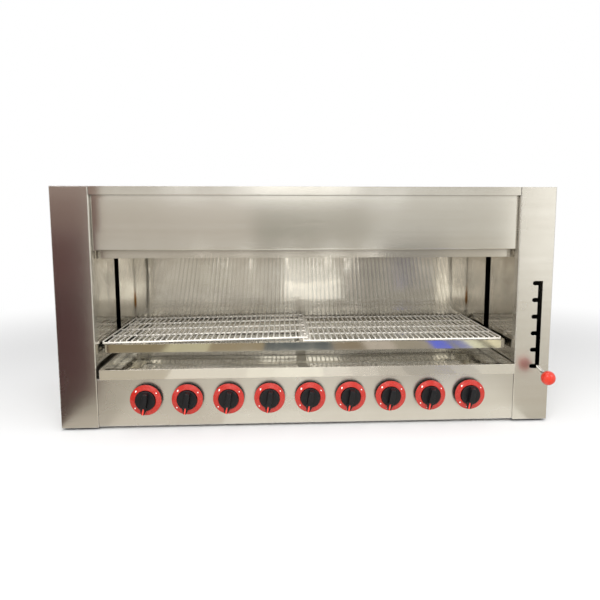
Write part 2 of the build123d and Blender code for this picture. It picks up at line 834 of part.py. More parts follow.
def side_rail(side):
    """Angle between the front and rear rails."""
    inner = side * (rack_half_width - rail_sheet / 2)
    with BuildPart() as rail:
        with BuildSketch(Plane.XZ.offset(-(rack_front_y + rail_depth))):
            with Locations((inner, (rail_bottom + rail_top) / 2)):
                Rectangle(rail_sheet, rail_height)
            with Locations((side * (rack_half_width - rail_depth / 2), rail_top - rail_sheet / 2)):
                Rectangle(rail_depth, rail_sheet)
        extrude(amount=-(rack_depth - 2 * rail_depth))
    return rail.part


save(solids_of([side_rail(-1), side_rail(1)]), "rack_side_rails")

with BuildPart() as middle_bar:
    with BuildSketch(Plane.XZ.offset(-(rack_front_y + rail_depth))):
        with Locations((middle_bar_x, rail_top - middle_bar_sheet / 2)):
            Rectangle(middle_bar_width, middle_bar_sheet)
    extrude(amount=-(rack_depth - 2 * rail_depth))
save(middle_bar.part, "rack_middle_bar")


# ---------------------------------------------------------------- lift
def lift_carriage(side):
    """Block that slides on a guide rod, with the arm that reaches through the liner's slot."""
    block_inner = guide_rod_x - carriage_width / 2
    with BuildPart() as carriage:
        with BuildSketch(Plane.XY.offset(carriage_z)):
            with Locations((side * guide_rod_x, rod_y)):
                Rectangle(carriage_width, carriage_depth)
        extrude(amount=carriage_height)
        with BuildSketch(Plane.XY.offset(arm_z - arm_height)):
            with Locations((side * (rack_half_width + block_inner) / 2, rod_y)):
                Rectangle(block_inner - rack_half_width, arm_depth)
        extrude(amount=arm_height)
        if side > 0:
            clevis_start = guide_rod_x + carriage_width / 2
            clevis_length = lever_pivot_x + clevis_end - clevis_start
            for ear_z in (hub_bottom - running_gap - clevis_sheet, hub_top + running_gap):
                with BuildSketch(Plane.XY.offset(ear_z)):
                    with Locations((clevis_start + clevis_length / 2, rod_y)):
                        Rectangle(clevis_length, 2 * clevis_end)
                extrude(amount=clevis_sheet)
            with BuildSketch(Plane.XY.offset(carriage_z)):
                with Locations((lever_pivot_x, rod_y)):
                    Circle(lever_pin_diameter / 2 + lever_pin_clearance)
            extrude(amount=carriage_height, mode=Mode.SUBTRACT)
        with BuildSketch(Plane.XY.offset(carriage_z)):
            with Locations((side * guide_rod_x, rod_y)):
                Circle(guide_rod_diameter / 2 + rod_clearance)
        extrude(amount=carriage_height, mode=Mode.SUBTRACT)
    return carriage.part


save(lift_carriage(-1), "left_lift_carriage")
save(lift_carriage(1), "right_lift_carriage")


def carriage_bolts(side):
    """Heads of the bolts that hold the side rail to the lifting arm."""
    with BuildPart() as bolts:
        with BuildSketch(Plane.YZ.offset(side * (rack_half_width - rail_sheet))):
            with Locations((rod_y, bolt_z)):
                with GridLocations(bolt_spacing, 0, 2, 1):
                    RegularPolygon(bolt_head / 2, 6)
        extrude(amount=-side * bolt_head_height)
    return bolts.part


save(solids_of([carriage_bolts(-1), carriage_bolts(1)]), "carriage_bolts")

rod_bottom = base_z + rod_bracket_low + rod_bracket_sheet
rod_top = base_z + rod_bracket_high
with BuildPart() as guide_rods:
    with BuildSketch(Plane.XY.offset(rod_bottom)):
        with Locations((-guide_rod_x, rod_y), (guide_rod_x, rod_y)):
            Circle(guide_rod_diameter / 2)
    extrude(amount=rod_top - rod_bottom)
save(guide_rods.part, "guide_rods")


def rod_bracket(side, height, tab_way):
    """Angle on the back of a side liner that holds one end of a guide rod."""
    plate_end = guide_rod_x + carriage_width / 2
    bracket_z = base_z + height
    tab_z = bracket_z if tab_way > 0 else bracket_z + rod_bracket_sheet
    with BuildPart() as bracket:
        with BuildSketch(Plane.XY.offset(bracket_z)):
            with Locations((side * (liner_outer + plate_end) / 2, rod_y)):
                Rectangle(plate_end - liner_outer, carriage_depth)
        extrude(amount=rod_bracket_sheet)
        with BuildSketch(Plane.XY.offset(tab_z)):
            with Locations((side * (liner_outer + rod_bracket_sheet / 2), rod_y)):
                Rectangle(rod_bracket_sheet, carriage_depth)
        extrude(amount=tab_way * rod_bracket_tab)
    return bracket.part


brackets = [
    rod_bracket(side, height, tab_way)
    for side in (-1, 1)
    for height, tab_way in ((rod_bracket_low, 1), (rod_bracket_high, -1))
]
save(solids_of(brackets), "guide_rod_brackets")

with BuildPart() as lift_lever:
    with BuildSketch(Plane.XY.offset(hub_bottom)):
        with Locations((lever_pivot_x, rod_y)):
            Circle(lever_hub_diameter / 2)
    extrude(amount=hub_top - hub_bottom)
    with BuildSketch(lever_plane):
        Circle(lever_diameter / 2)
    extrude(amount=rod_length)
    with BuildSketch(lever_plane.offset(rod_length)):
        Circle(thread_diameter / 2)
    extrude(amount=ball_bore_depth - panel_gap)
    with BuildSketch(Plane.XY.offset(hub_bottom)):
        with Locations((lever_pivot_x, rod_y)):
            Circle(lever_pin_diameter / 2 + lever_pin_clearance)
    extrude(amount=hub_top - hub_bottom, mode=Mode.SUBTRACT)

with BuildPart() as lever_ball:
    with Locations(lever_plane.offset(ball_distance)):
        Sphere(ball_radius)
    with BuildSketch(lever_plane.offset(rod_length)):
        Circle(ball_radius)
    extrude(amount=-ball_radius, mode=Mode.SUBTRACT)
    with BuildSketch(lever_plane.offset(rod_length)):
        Circle(thread_diameter / 2 + tap_clearance)
    extrude(amount=ball_bore_depth, mode=Mode.SUBTRACT)
save(solids_of([lift_lever.part, lever_ball.part]), "lift_lever")

with BuildPart() as lever_pivot_pin:
    pin_low = hub_bottom - running_gap - clevis_sheet
    pin_high = hub_top + running_gap + clevis_sheet
    with BuildSketch(Plane.XY.offset(pin_low - pin_head_height)):
        with Locations((lever_pivot_x, rod_y)):
            RegularPolygon(pin_head_diameter / 2, 6)
    extrude(amount=pin_head_height)
    with BuildSketch(Plane.XY.offset(pin_low)):
        with Locations((lever_pivot_x, rod_y)):
            Circle(lever_pin_diameter / 2)
    extrude(amount=pin_high - pin_low)
    with BuildSketch(Plane.XY.offset(pin_high)):
        with Locations((lever_pivot_x, rod_y)):
            RegularPolygon(pin_head_diameter / 2, 6)
    extrude(amount=pin_head_height)
save(lever_pivot_pin.part, "lever_pivot_pin")


# ---------------------------------------------------------------- grates
with BuildPart() as wire:
    with BuildSketch(Plane.XZ):
        RegularPolygon(wire_diameter / 2, hidden_sides, rotation=180 / hidden_sides)
    extrude(amount=-grate_depth)

with BuildPart() as bar:
    with BuildSketch(Plane.YZ):
        RegularPolygon(bar_diameter / 2, hidden_sides, rotation=180 / hidden_sides)
    extrude(amount=grate_length)

wire_count = round((grate_length - wire_diameter) / wire_pitch) + 1
wire_step = (grate_length - wire_diameter) / (wire_count - 1)
bar_step = (grate_depth - 2 * bar_inset) / (bar_count - 1)


def grate(x_start, turn):
    """Wires lying on cross bars, turned up by turn degrees about the left end."""
    z_wire = bar_diameter + wire_diameter / 2
    pieces = [
        wire.part.moved(Location((wire_diameter / 2 + i * wire_step, 0, z_wire)))
        for i in range(wire_count)
    ]
    pieces += [
        bar.part.moved(Location((0, bar_inset + i * bar_step, bar_diameter / 2)))
        for i in range(bar_count)
    ]
    seat = Location((x_start, front_y + grate_front, rail_top + running_gap), (0, -turn, 0))
    return solids_of([piece.moved(seat) for piece in pieces])


# The left grate's end lies on the right grate's first wire.
grate_rise = bar_diameter + wire_diameter + running_gap
grate_turn = degrees(asin(grate_rise / (right_grate_x + wire_diameter / 2 - left_grate_x)))
save(grate(left_grate_x, grate_turn), "left_grate")
save(grate(right_grate_x, 0), "right_grate")


# ---------------------------------------------------------------- feet and screws
with BuildPart() as feet:
    with BuildSketch(Plane.XY):
        for x in (foot_side_inset - half_width, half_width - foot_side_inset):
            with Locations((x, front_y + foot_front_inset), (x, rear_y - foot_rear_inset)):
                Circle(foot_diameter / 2)
    extrude(amount=foot_height)
save(feet.part, "feet")

with BuildPart() as casing_screws:
    for side in (-1, 1):
        with BuildSketch(Plane.YZ.offset(side * half_width)):
            with Locations([(front_y + side_screw_setback, base_z + h) for h in side_screw_heights]):
                RegularPolygon(screw_flats / 2, 6)
        extrude(amount=side * screw_height)
    with BuildSketch(Plane.XZ.offset(-rear_y)):
        for side in (-1, 1):
            with Locations(
                [(side * (half_width - back_screw_inset), base_z + h) for h in back_screw_heights]
            ):
                RegularPolygon(screw_flats / 2, 6)
    extrude(amount=-screw_height)
save(casing_screws.part, "casing_screws")
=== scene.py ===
import math

import bpy
import numpy as np
from mathutils import Matrix, Vector


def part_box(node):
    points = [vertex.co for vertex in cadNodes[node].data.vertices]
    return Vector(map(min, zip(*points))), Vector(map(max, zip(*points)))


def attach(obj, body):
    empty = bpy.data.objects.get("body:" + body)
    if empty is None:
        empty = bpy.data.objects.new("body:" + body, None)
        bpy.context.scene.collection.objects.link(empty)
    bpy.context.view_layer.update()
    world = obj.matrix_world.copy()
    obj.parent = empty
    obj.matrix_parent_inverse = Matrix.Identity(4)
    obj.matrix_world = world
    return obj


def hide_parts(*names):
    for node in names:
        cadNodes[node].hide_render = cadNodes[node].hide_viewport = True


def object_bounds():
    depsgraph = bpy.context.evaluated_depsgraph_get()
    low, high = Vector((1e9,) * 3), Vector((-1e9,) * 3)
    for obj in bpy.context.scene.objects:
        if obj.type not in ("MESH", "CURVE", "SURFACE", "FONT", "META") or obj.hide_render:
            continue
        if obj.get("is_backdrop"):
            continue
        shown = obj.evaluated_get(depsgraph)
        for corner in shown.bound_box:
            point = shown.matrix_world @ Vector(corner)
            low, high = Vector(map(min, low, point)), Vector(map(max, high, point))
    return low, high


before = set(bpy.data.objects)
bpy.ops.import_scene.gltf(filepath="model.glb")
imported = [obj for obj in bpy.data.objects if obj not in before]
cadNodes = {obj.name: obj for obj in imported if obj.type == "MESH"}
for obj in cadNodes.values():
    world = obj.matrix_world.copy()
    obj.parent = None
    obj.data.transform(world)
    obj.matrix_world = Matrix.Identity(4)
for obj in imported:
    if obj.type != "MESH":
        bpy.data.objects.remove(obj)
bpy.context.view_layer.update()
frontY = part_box("left_side_casing")[0].y
print("frame:", len(cadNodes), "nodes")

# the space inside the columns, in metres; it ends just short of the sheets' outer faces
hiddenZone = {
    "inner": 0.4788,  # to either side of the middle
    "outer": 0.5594,
    "front": frontY + 0.0006,
    "rear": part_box("back_panel")[1].y - 0.0006,
    "top": 0.5455,
    "dark": 0.96,
}
shadeLook = {
    "edgeSamples": 4,
    "cornerShadeSamples": 6,
    "cornerShadeRamp": (0.15, 0.95),  # how shaded a corner is where the painted shade begins, and where it is full
}


class Wire:  # one socket of a node tree; an expression on it adds Math nodes
    def __init__(self, recipe, socket):
        self.recipe, self.socket = recipe, socket

    def math(self, operation, *others):
        return self.recipe.add("Math", {"operation": operation}, [self, *others])

    def __add__(self, other):
        return self.math("ADD", other)

    def __sub__(self, other):
        return self.math("SUBTRACT", other)

    def __mul__(self, other):
        return self.math("MULTIPLY", other)

    def __rsub__(self, other):
        return self.recipe.add("Math", {"operation": "SUBTRACT"}, [other, self])

    def __gt__(self, other):
        return self.math("GREATER_THAN", other)

    def __lt__(self, other):
        return self.math("LESS_THAN", other)

    __radd__, __rmul__ = __add__, __mul__

    def step(self, low, high):  # 0 below low, 1 above high, smooth between
        return self.recipe.add(
            "MapRange",
            {"interpolation_type": "SMOOTHSTEP"},
            {"Value": self, "From Min": low, "From Max": high},
        )

    def clamp(self):
        return self.recipe.add("Clamp", {}, [self])


class Finish:  # a node material, or the world's node tree
    def __init__(self, name, owner=None):
        self.owner = owner or bpy.data.materials.new(name)
        self.owner.use_nodes = True
        self.tree = self.owner.node_tree
        self.tree.nodes.clear()

    def add(self, kind, settings, sockets, output=0):
        node = self.tree.nodes.new("ShaderNode" + kind)
        for key, value in settings.items():
            setattr(node, key, value)
        for key, value in sockets.items() if isinstance(sockets, dict) else enumerate(sockets):
            target = node.inputs[key]
            if isinstance(value, Wire):
                self.tree.links.new(value.socket, target)
            elif target.type == "RGBA":
                target.default_value = (*value, 1)
            else:
                target.default_value = value
        return Wire(self, node.outputs[output]) if node.outputs else node

    def place(self):
        return self.add("TexCoord", {}, {}, "Object")

    def axes(self):  # the object's own x, y and z in metres
        split = self.add("SeparateXYZ", {}, [self.place()])
        return [Wire(self, socket) for socket in split.socket.node.outputs]

    def noise(self, scale, detail=2.0, stretch=(1, 1, 1), rough=0.5):
        at = self.add("VectorMath", {"operation": "MULTIPLY"}, [self.place(), stretch])
        return self.add(
            "TexNoise", {}, {"Vector": at, "Scale": scale, "Detail": detail, "Roughness": rough}
        )

    def cells(self, scale):  # distance to the nearest cell's point
        at = {"Vector": self.place(), "Scale": scale}
        return self.add("TexVoronoi", {"feature": "F1"}, at)

    def blend(self, factor, first, second):
        return self.add("Mix", {"data_type": "RGBA"}, {0: factor, 6: first, 7: second}, 2)

    def bump(self, height, edge=None):  # height in metres
        values = {"Height": height, "Distance": 1.0}
        if edge is not None:
            values["Normal"] = edge
        return self.add("Bump", {}, values)

    def roundedEdge(self, radius):
        return self.add("Bevel", {"samples": shadeLook["edgeSamples"]}, {"Radius": radius})

    def cornerShade(self, reach):  # painted shade from ambient occlusion: 1 deep in a corner or gap, 0 in the open
        samples = {"samples": shadeLook["cornerShadeSamples"]}
        shade = self.add("AmbientOcclusion", samples, {"Distance": reach}, "AO")
        return (1 - shade).step(*shadeLook["cornerShadeRamp"])

    def hidden(self, colour):  # black on faces that look into a column, where no light comes
        x, y, z = self.axes()
        x = x.math("ABSOLUTE")
        across = (x > hiddenZone["inner"]) * (x < hiddenZone["outer"])
        inside = across * (y > hiddenZone["front"]) * (y < hiddenZone["rear"])
        inside = inside * (z < hiddenZone["top"])
        return self.blend(inside * hiddenZone["dark"], colour, (0.0, 0.0, 0.0))

    def seen(self, first, *others):  # 1 for rays of the named kinds
        outputs = self.add("LightPath", {}, {}).socket.node.outputs
        total = Wire(self, outputs[first])
        for ray in others:
            total = total + Wire(self, outputs[ray])
        return total.clamp()

    def surface(self, values):
        return self.add("BsdfPrincipled", {}, values)

    def close(self, shader):
        kind = "OutputWorld" if isinstance(self.owner, bpy.types.World) else "OutputMaterial"
        self.add(kind, {}, {"Surface": shader})
        return self.owner


steelLook = {
    "colour": (0.725, 0.705, 0.662),
    "dull": (0.55, 0.51, 0.44),
    # painted shade: the colour, and its largest share, of the darkening that ambient occlusion
    # puts in corners and gaps
    "cornerShadeColour": (0.10, 0.085, 0.065),
    "cornerShadeMost": 0.85,
    "roughness": 0.25,
    "uneven": 0.10,  # how much the roughness varies
    # noise: number per metre, detail, stretch and roughness; the grain runs from left to right
    "grain": (420.0, 2.0, (0.012, 1, 1)),
    "streaks": (60.0, 3.0, (0.012, 1, 1)),
    "smudges": (7.0, 4.0, (1, 1, 1), 0.6),
    "patches": (2.3, 1.0),
    "shares": (0.05, 0.40, 0.6),  # of grain, streaks and smudges in the dull colour
    "clean": 0.30,
    "waviness": 0.0009,  # metres that the sheet is out of flat
    "directional": 0.55,  # how much the brushing spreads a highlight across the grain
    "turned": 0.25,  # of a circle, so that it is spread up and down
    "edge": 0.0012,  # metres, the round of a fold
}
brushedLooks = {
    "frontGrain": {"rougher": -0.10, "spread": 0.5},
    "skirtGrain": {"rougher": -0.08, "darker": 0.40, "reach": 0.022},
    "columnGrain": {"rougher": 0.01, "spread": 0.5},
    "panelGrain": {"rougher": 0.03},
    "topGrain": {"rougher": -0.09, "spread": 0.3},
}


def brushedSteel(name, rougher=0.0, darker=0.0, spread=1.0, reach=0.009):
    look = steelLook
    made = Finish(name)
    grain, streaks = made.noise(*look["grain"]), made.noise(*look["streaks"])
    smudge, patch = made.noise(*look["smudges"]), made.noise(*look["patches"])
    grainShare, streakShare, smudgeShare = look["shares"]
    dull = grain * grainShare + streaks * streakShare + smudge * smudgeShare
    dull = (dull - look["clean"] + darker).clamp()
    colour = made.blend(dull, look["colour"], look["dull"])
    # painted shade: corners and gaps darkened by ambient occlusion
    colour = made.blend(made.cornerShade(reach) * look["cornerShadeMost"], colour, look["cornerShadeColour"])
    roughness = look["roughness"] + rougher - look["uneven"] / 2
    values = {
        "Base Color": made.hidden(colour),
        "Metallic": 1.0,
        "Roughness": smudge * look["uneven"] + roughness,
        "Anisotropic": look["directional"] * spread,
        "Anisotropic Rotation": look["turned"],
        "Normal": made.bump(patch * look["waviness"], made.roundedEdge(look["edge"])),
    }
    return made.close(made.surface(values))


linerLook = {
    "colour": (0.82, 0.785, 0.715),
    "panColour": (0.97, 0.965, 0.93),
    "panInside": (-0.176, -0.170),  # y at which the tray's lip ends and its pan begins
    "panMost": 0.8,
    "soil": (0.22, 0.20, 0.16),
    "soilMost": 0.25,
    "soilFrom": (0.35, 0.75),  # of the smudges' noise, where soil begins and is full
    # painted shade: the colour, reach and largest share of the darkening in corners and gaps
    "cornerShadeColour": (0.05, 0.04, 0.03),
    "cornerShadeReach": 0.012,
    "cornerShadeMost": 0.9,
    "tint": (0.46, 0.37, 0.24),  # straw and brown that the heat leaves
    "tintHeights": (0.30, 0.43),
    "tintMost": 0.45,
    "tintGain": 1.2,
    # noise: number per metre, detail, stretch and roughness
    "smudges": (11.0, 5.0, (1, 1, 1), 0.65),
    "waves": (7.0, 1.5, (1, 1, 0.45)),
    "ripples": (13.0, 1.0, (1, 1, 0.3)),
    "rollLines": (95.0, 1.0, (1, 1, 0.03)),
    "streakGaps": (16.0, 2.0, (1, 1, 0.2)),
    "rolled": 0.00003,  # metres, the upright lines that the rolling leaves
    "waveBuckle": 2.2,
    "ends": (0.33, 0.46),  # metres from the middle, where the sheet buckles more and more
    "endBuckle": 2.6,
    "middleBuckle": 0.14,
    "sharp": 0.01,  # roughness of the part of the finish that mirrors
    "haze": 0.16,  # and of the part that smears up and down
    "uneven": 0.08,
    "directional": 1.0,
    "turned": 0.25,
    "edge": 0.0012,
    "rust": (0.27, 0.13, 0.03),  # in the back corners, above the rack
    "rustAcross": (0.4735, 0.4768),
    "rustDeep": (0.1945, 0.1985),
    "rustFoot": (0.215, 0.235),
    "rustHead": (0.25, 0.29),
    "rustFrom": 0.36,  # of the smudges' noise
    "rustGain": 5.0,
    "streakPitch": 0.0122,  # metres between the upright lines on the back: painted reflections of the grate's wires, which are also faint grooves
    "streakLean": 0.5,  # how much they draw together as they rise
    "streakLevel": 0.19,  # the height at which they are a pitch apart
    "streakDepth": 0.00002,
    "paintedReflectionColour": (0.40, 0.39, 0.36),
    "paintedReflectionEdge": (0.1, 0.95),  # of the wave, where a mark begins and is full
    "streakBreaks": (0.30, 0.62),  # of the gaps' noise, the same
    "streakEndsOff": 0.6,
}
linerLooks = {
    "liner": {"buckle": 0.0005, "hazy": 0.3, "darker": 0.08},
    "backLiner": {"buckle": 0.0011, "hazy": 0.84, "darker": 0.06, "paintedReflection": 0.40},
    "trayBright": {"buckle": 0.0004, "hazy": 0.40, "corner": False, "pan": 0.2},
}


def brightLiner(name, buckle, hazy, darker=0.0, corner=True, pan=0.0, paintedReflection=0.0):
    look = linerLook
    made = Finish(name)
    x, y, z = made.axes()
    fromMiddle = x.math("ABSOLUTE")
    waves = made.noise(*look["waves"])
    ripple = made.noise(*look["ripples"])
    rolled = made.noise(*look["rollLines"])
    smudge = made.noise(*look["smudges"])
    ends = fromMiddle.step(*look["ends"])
    height = waves * (buckle * look["waveBuckle"])
    height = height + ripple * buckle * (ends * look["endBuckle"] + look["middleBuckle"])
    height = height + rolled * look["rolled"]
    heat = (z.step(*look["tintHeights"]) * smudge * look["tintGain"]).clamp()
    colour = made.blend(heat * look["tintMost"], look["colour"], look["tint"])
    dark = smudge.step(*look["soilFrom"]) * look["soilMost"] + darker
    if pan:  # the pan is brighter than its lip, and soiled
        inside = y.step(*look["panInside"])
        colour = made.blend(inside * look["panMost"], colour, look["panColour"])
        dark = dark * inside * pan
    colour = made.blend(dark.clamp(), colour, look["soil"])
    # painted shade in corners and gaps, from ambient occlusion
    cornerShade = made.cornerShade(look["cornerShadeReach"]) * look["cornerShadeMost"]
    colour = made.hidden(made.blend(cornerShade, colour, look["cornerShadeColour"]))
    if corner:
        edge = fromMiddle.step(*look["rustAcross"]) * y.step(*look["rustDeep"])
        level = z.step(*look["rustFoot"]) * (1 - z.step(*look["rustHead"]))
        rust = (edge * level * (smudge - look["rustFrom"]) * look["rustGain"]).clamp()
        colour = made.blend(rust, colour, look["rust"])
    # painted reflection: dark upright lines that stand in for the grate's wires mirrored in the
    # back, drawing together as they rise; the same wave also makes faint grooves
    if paintedReflection:
        across = x * (z * look["streakLean"] + (1 - look["streakLevel"] * look["streakLean"]))
        wave = (across * (2 * math.pi / look["streakPitch"])).math("SINE")
        gaps = made.noise(*look["streakGaps"]).step(*look["streakBreaks"])
        uneven = gaps * (1 - ends * look["streakEndsOff"])
        marks = wave.step(*look["paintedReflectionEdge"]) * uneven
        colour = made.blend(marks * paintedReflection, colour, look["paintedReflectionColour"])
        height = height + wave * uneven * look["streakDepth"]
    normal = made.bump(height, made.roundedEdge(look["edge"]) if pan else None)
    values = {"Base Color": colour, "Metallic": 1.0, "Normal": normal}
    varied = smudge * look["uneven"]
    mirror = made.surface({**values, "Roughness": varied + look["sharp"]})
    smear = {"Anisotropic": look["directional"], "Anisotropic Rotation": look["turned"]}
    haze = made.surface({**values, "Roughness": varied + look["haze"], **smear})
    return made.close(made.add("MixShader", {}, [hazy, mirror, haze]))


mottleLook = {
    "share": 0.6,  # of the fine clouds, and of the broad ones, in the dull colour
    "clean": 0.1,
    "broader": 9,  # times as broad as the fine clouds
    "broadBumps": 4,  # times as high
    "uneven": 0.14,
}
metalLooks = {
    "millSheet": {"colour": (0.56, 0.55, 0.52), "dull": (0.40, 0.39, 0.36), "roughness": 0.40},
    "hotPlate": {
        "colour": (0.68, 0.64, 0.57),
        "dull": (0.46, 0.41, 0.35),
        "roughness": 0.36,
        "clouds": 22.0,
        "bumps": 0.00012,
    },
    "rackSteel": {
        "colour": (0.66, 0.64, 0.58),
        "dull": (0.48, 0.45, 0.39),
        "roughness": 0.075,
        "clouds": 30.0,
        "bumps": 0.00002,
        "edge": 0.0012,
    },
    "wireChrome": {
        "colour": (0.97, 0.95, 0.90),
        "dull": (0.78, 0.73, 0.64),
        "roughness": 0.30,
        "clouds": 26.0,
        "bumps": 0.00003,
        "metallic": 0.25,
    },
    "rodChrome": {
        "colour": (0.78, 0.77, 0.75),
        "dull": (0.60, 0.58, 0.55),
        "roughness": 0.10,
        "clouds": 80.0,
        "bumps": 0.00001,
    },
    "screwZinc": {
        "colour": (0.62, 0.60, 0.56),
        "dull": (0.42, 0.40, 0.36),
        "roughness": 0.30,
        "clouds": 200.0,
        "bumps": 0.00002,
    },
    "turnedBrass": {
        "colour": (0.70, 0.50, 0.22),
        "dull": (0.46, 0.32, 0.15),
        "roughness": 0.28,
        "clouds": 120.0,
        "bumps": 0.00003,
    },
    "dullPipe": {
        "colour": (0.20, 0.20, 0.21),
        "dull": (0.11, 0.11, 0.11),
        "roughness": 0.50,
        "clouds": 90.0,
        "bumps": 0.00005,
        "metallic": 0.6,
    },
}


def plainMetal(name, colour, dull, roughness, clouds=60.0, bumps=0.00004, metallic=1.0, edge=0.0):
    # clouds in number per metre, bumps and edge in metres
    look = mottleLook
    made = Finish(name)
    cloud = made.noise(clouds, detail=4.0, rough=0.6)
    broad = made.noise(clouds / look["broader"], detail=3.0)
    mottle = (cloud * look["share"] + broad * look["share"] - look["clean"]).clamp()
    height = cloud * bumps + broad * (bumps * look["broadBumps"])
    values = {
        "Base Color": made.hidden(made.blend(mottle, colour, dull)),
        "Metallic": metallic,
        "Roughness": cloud * look["uneven"] + (roughness - look["uneven"] / 2),
        "Normal": made.bump(height, made.roundedEdge(edge) if edge else None),
    }
    return made.close(made.surface(values))


mouldLook = {
    "fine": 2600.0,  # grains per metre
    "clouds": 90.0,
    "dusty": (0.45, 0.8),
    "cloudUneven": 0.16,
    "fineUneven": 0.06,
    "coatRoughness": 0.12,
    "fineBumps": 0.00001,  # metres
    "cloudBumps": 0.00004,
}
plasticLooks = {
    "dialRed": {
        "colour": (0.43, 0.016, 0.009),
        "worn": (0.50, 0.06, 0.045),
        "roughness": 0.26,
        "coat": 0.35,
        "dust": 0.3,
    },
    "ballRed": {
        "colour": (0.60, 0.026, 0.009),
        "worn": (0.62, 0.07, 0.04),
        "roughness": 0.18,
        "coat": 0.5,
        "shine": 0.4,
    },
    "pointerRed": {
        "colour": (0.80, 0.045, 0.025),
        "worn": (0.75, 0.15, 0.1),
        "roughness": 0.40,
        "coat": 0.2,
    },
    "knobBlack": {
        "colour": (0.006, 0.006, 0.0075),
        "worn": (0.022, 0.022, 0.022),
        "roughness": 0.34,
        "dust": 0.4,
        "shine": 0.30,
    },
    "baseBlack": {
        "colour": (0.005, 0.005, 0.005),
        "worn": (0.01, 0.01, 0.01),
        "roughness": 0.6,
        "dust": 0.3,
        "shine": 0.1,
    },
    "markWhite": {"colour": (0.85, 0.84, 0.80), "worn": (0.62, 0.58, 0.52), "roughness": 0.5},
    "footRubber": {
        "colour": (0.02, 0.02, 0.02),
        "worn": (0.06, 0.06, 0.055),
        "roughness": 0.7,
        "dust": 0.6,
    },
}


def mouldedPlastic(name, colour, worn, roughness, coat=0.0, dust=0.15, shine=0.5):
    look = mouldLook
    made = Finish(name)
    fine = made.noise(look["fine"], detail=2.0)
    cloud = made.noise(look["clouds"], detail=4.0, rough=0.65)
    middle = (look["cloudUneven"] + look["fineUneven"]) / 2
    varied = cloud * look["cloudUneven"] + fine * look["fineUneven"]
    values = {
        "Base Color": made.blend((cloud.step(*look["dusty"]) * dust).clamp(), colour, worn),
        "Roughness": varied + (roughness - middle),
        "Specular IOR Level": shine,
        "Coat Weight": coat,
        "Coat Roughness": look["coatRoughness"],
        "Normal": made.bump(fine * look["fineBumps"] + cloud * look["cloudBumps"]),
    }
    return made.close(made.surface(values))


tileLook = {
    "colour": (0.46, 0.38, 0.30),
    "sootColour": (0.22, 0.18, 0.15),
    # painted shade in the holes, which are only bumps: its colour, and its largest share below
    "paintedHoleShade": (0.06, 0.045, 0.035),
    "holes": 210.0,  # per metre, as are the next two
    "dimples": 85.0,
    "soot": 14.0,
    "sootFrom": (0.35, 0.75),  # of its noise, where soot begins and is full
    "sootMost": 0.7,
    "holeEdge": (0.16, 0.34),  # of the distance to a cell's point
    "paintedHoleShadeMost": 0.85,
    "holeDepth": 0.0012,
    "dimpleDepth": 0.0016,
    "roughness": 0.85,
}


def ceramicTile(name):
    look = tileLook
    made = Finish(name)
    hole = 1 - made.cells(look["holes"]).step(*look["holeEdge"])
    dimple = made.cells(look["dimples"])
    soot = made.noise(look["soot"], detail=4.0).step(*look["sootFrom"])
    colour = made.blend(soot * look["sootMost"], look["colour"], look["sootColour"])
    values = {
        # painted shade: the holes darkened
        "Base Color": made.blend(hole * look["paintedHoleShadeMost"], colour, look["paintedHoleShade"]),
        "Roughness": look["roughness"],
        "Normal": made.bump(dimple * look["dimpleDepth"] - hole * look["holeDepth"]),
    }
    return made.close(made.surface(values))


finishes = {"ceramic": ceramicTile("ceramic")}
for make, looks in (
    (brushedSteel, brushedLooks),
    (brightLiner, linerLooks),
    (plainMetal, metalLooks),
    (mouldedPlastic, plasticLooks),
):
    for name, values in looks.items():
        finishes[name] = make(name, **values)

nodeFinish = {
    "columnGrain": ["left_side_casing", "right_side_casing"],
    "frontGrain": ["hood_fascia"],
    "skirtGrain": ["hood_skirt"],
    "topGrain": ["top_cover"],
    "panelGrain": ["control_panel"],
    "millSheet": [
        "base_pan", "back_panel", "valve_deck", "tray_runners", "burner_housings", "mixer_throats",
        "jet_rail", "left_lift_carriage", "right_lift_carriage", "guide_rod_brackets",
    ],
    "liner": ["left_cavity_liner", "right_cavity_liner"],
    "backLiner": ["back_cavity_liner"],
    "hotPlate": ["burner_plate", "burner_plate_cleats"],
    "trayBright": ["drip_tray"],
    "rackSteel": ["rack_front_rail", "rack_rear_rail", "rack_side_rails"],
    "wireChrome": ["left_grate", "right_grate", "rack_middle_bar"],
    "rodChrome": ["guide_rods", "lift_lever"],
    "screwZinc": ["carriage_bolts", "lever_pivot_pin", "casing_screws"],
    "turnedBrass": ["gas_taps", "gas_jets"] + [f"tap_spindle_{i}" for i in range(1, 10)],
    "dullPipe": ["burner_pipes", "gas_manifold", "gas_inlet"],
    "ceramic": ["ceramic_tiles"],
    "dialRed": ["dial_bezels"],
    "knobBlack": [f"knob_{i}" for i in range(1, 10)],
    "baseBlack": ["bezel_bases"],
    "footRubber": ["feet"],
}
for finishName, names in nodeFinish.items():
    for name in names:
        cadNodes[name].data.materials.clear()
        cadNodes[name].data.materials.append(finishes[finishName])
undressed = sorted(set(cadNodes) - {name for names in nodeFinish.values() for name in names})
print("finishes:", len(finishes), "undressed nodes:", undressed)

creaseAngle = 40  # degrees between two faces, from which their edge stays sharp
upright = np.array([1e-6, 0.0, 1.0])  # a hair off plumb, so that a side to it can be worked out


def gridFaces(rows, cols, closeRows=False, closeCols=False):
    # quads between neighbouring points of a rows x cols grid
    r = np.arange(rows if closeRows else rows - 1)[:, None]
    c = np.arange(cols if closeCols else cols - 1)[None, :]
    nextR, nextC = (r + 1) % rows, (c + 1) % cols
    corners = (r * cols + c, r * cols + nextC, nextR * cols + nextC, nextR * cols + c)
    return np.stack(np.broadcast_arrays(*corners), -1).reshape(-1, 4)


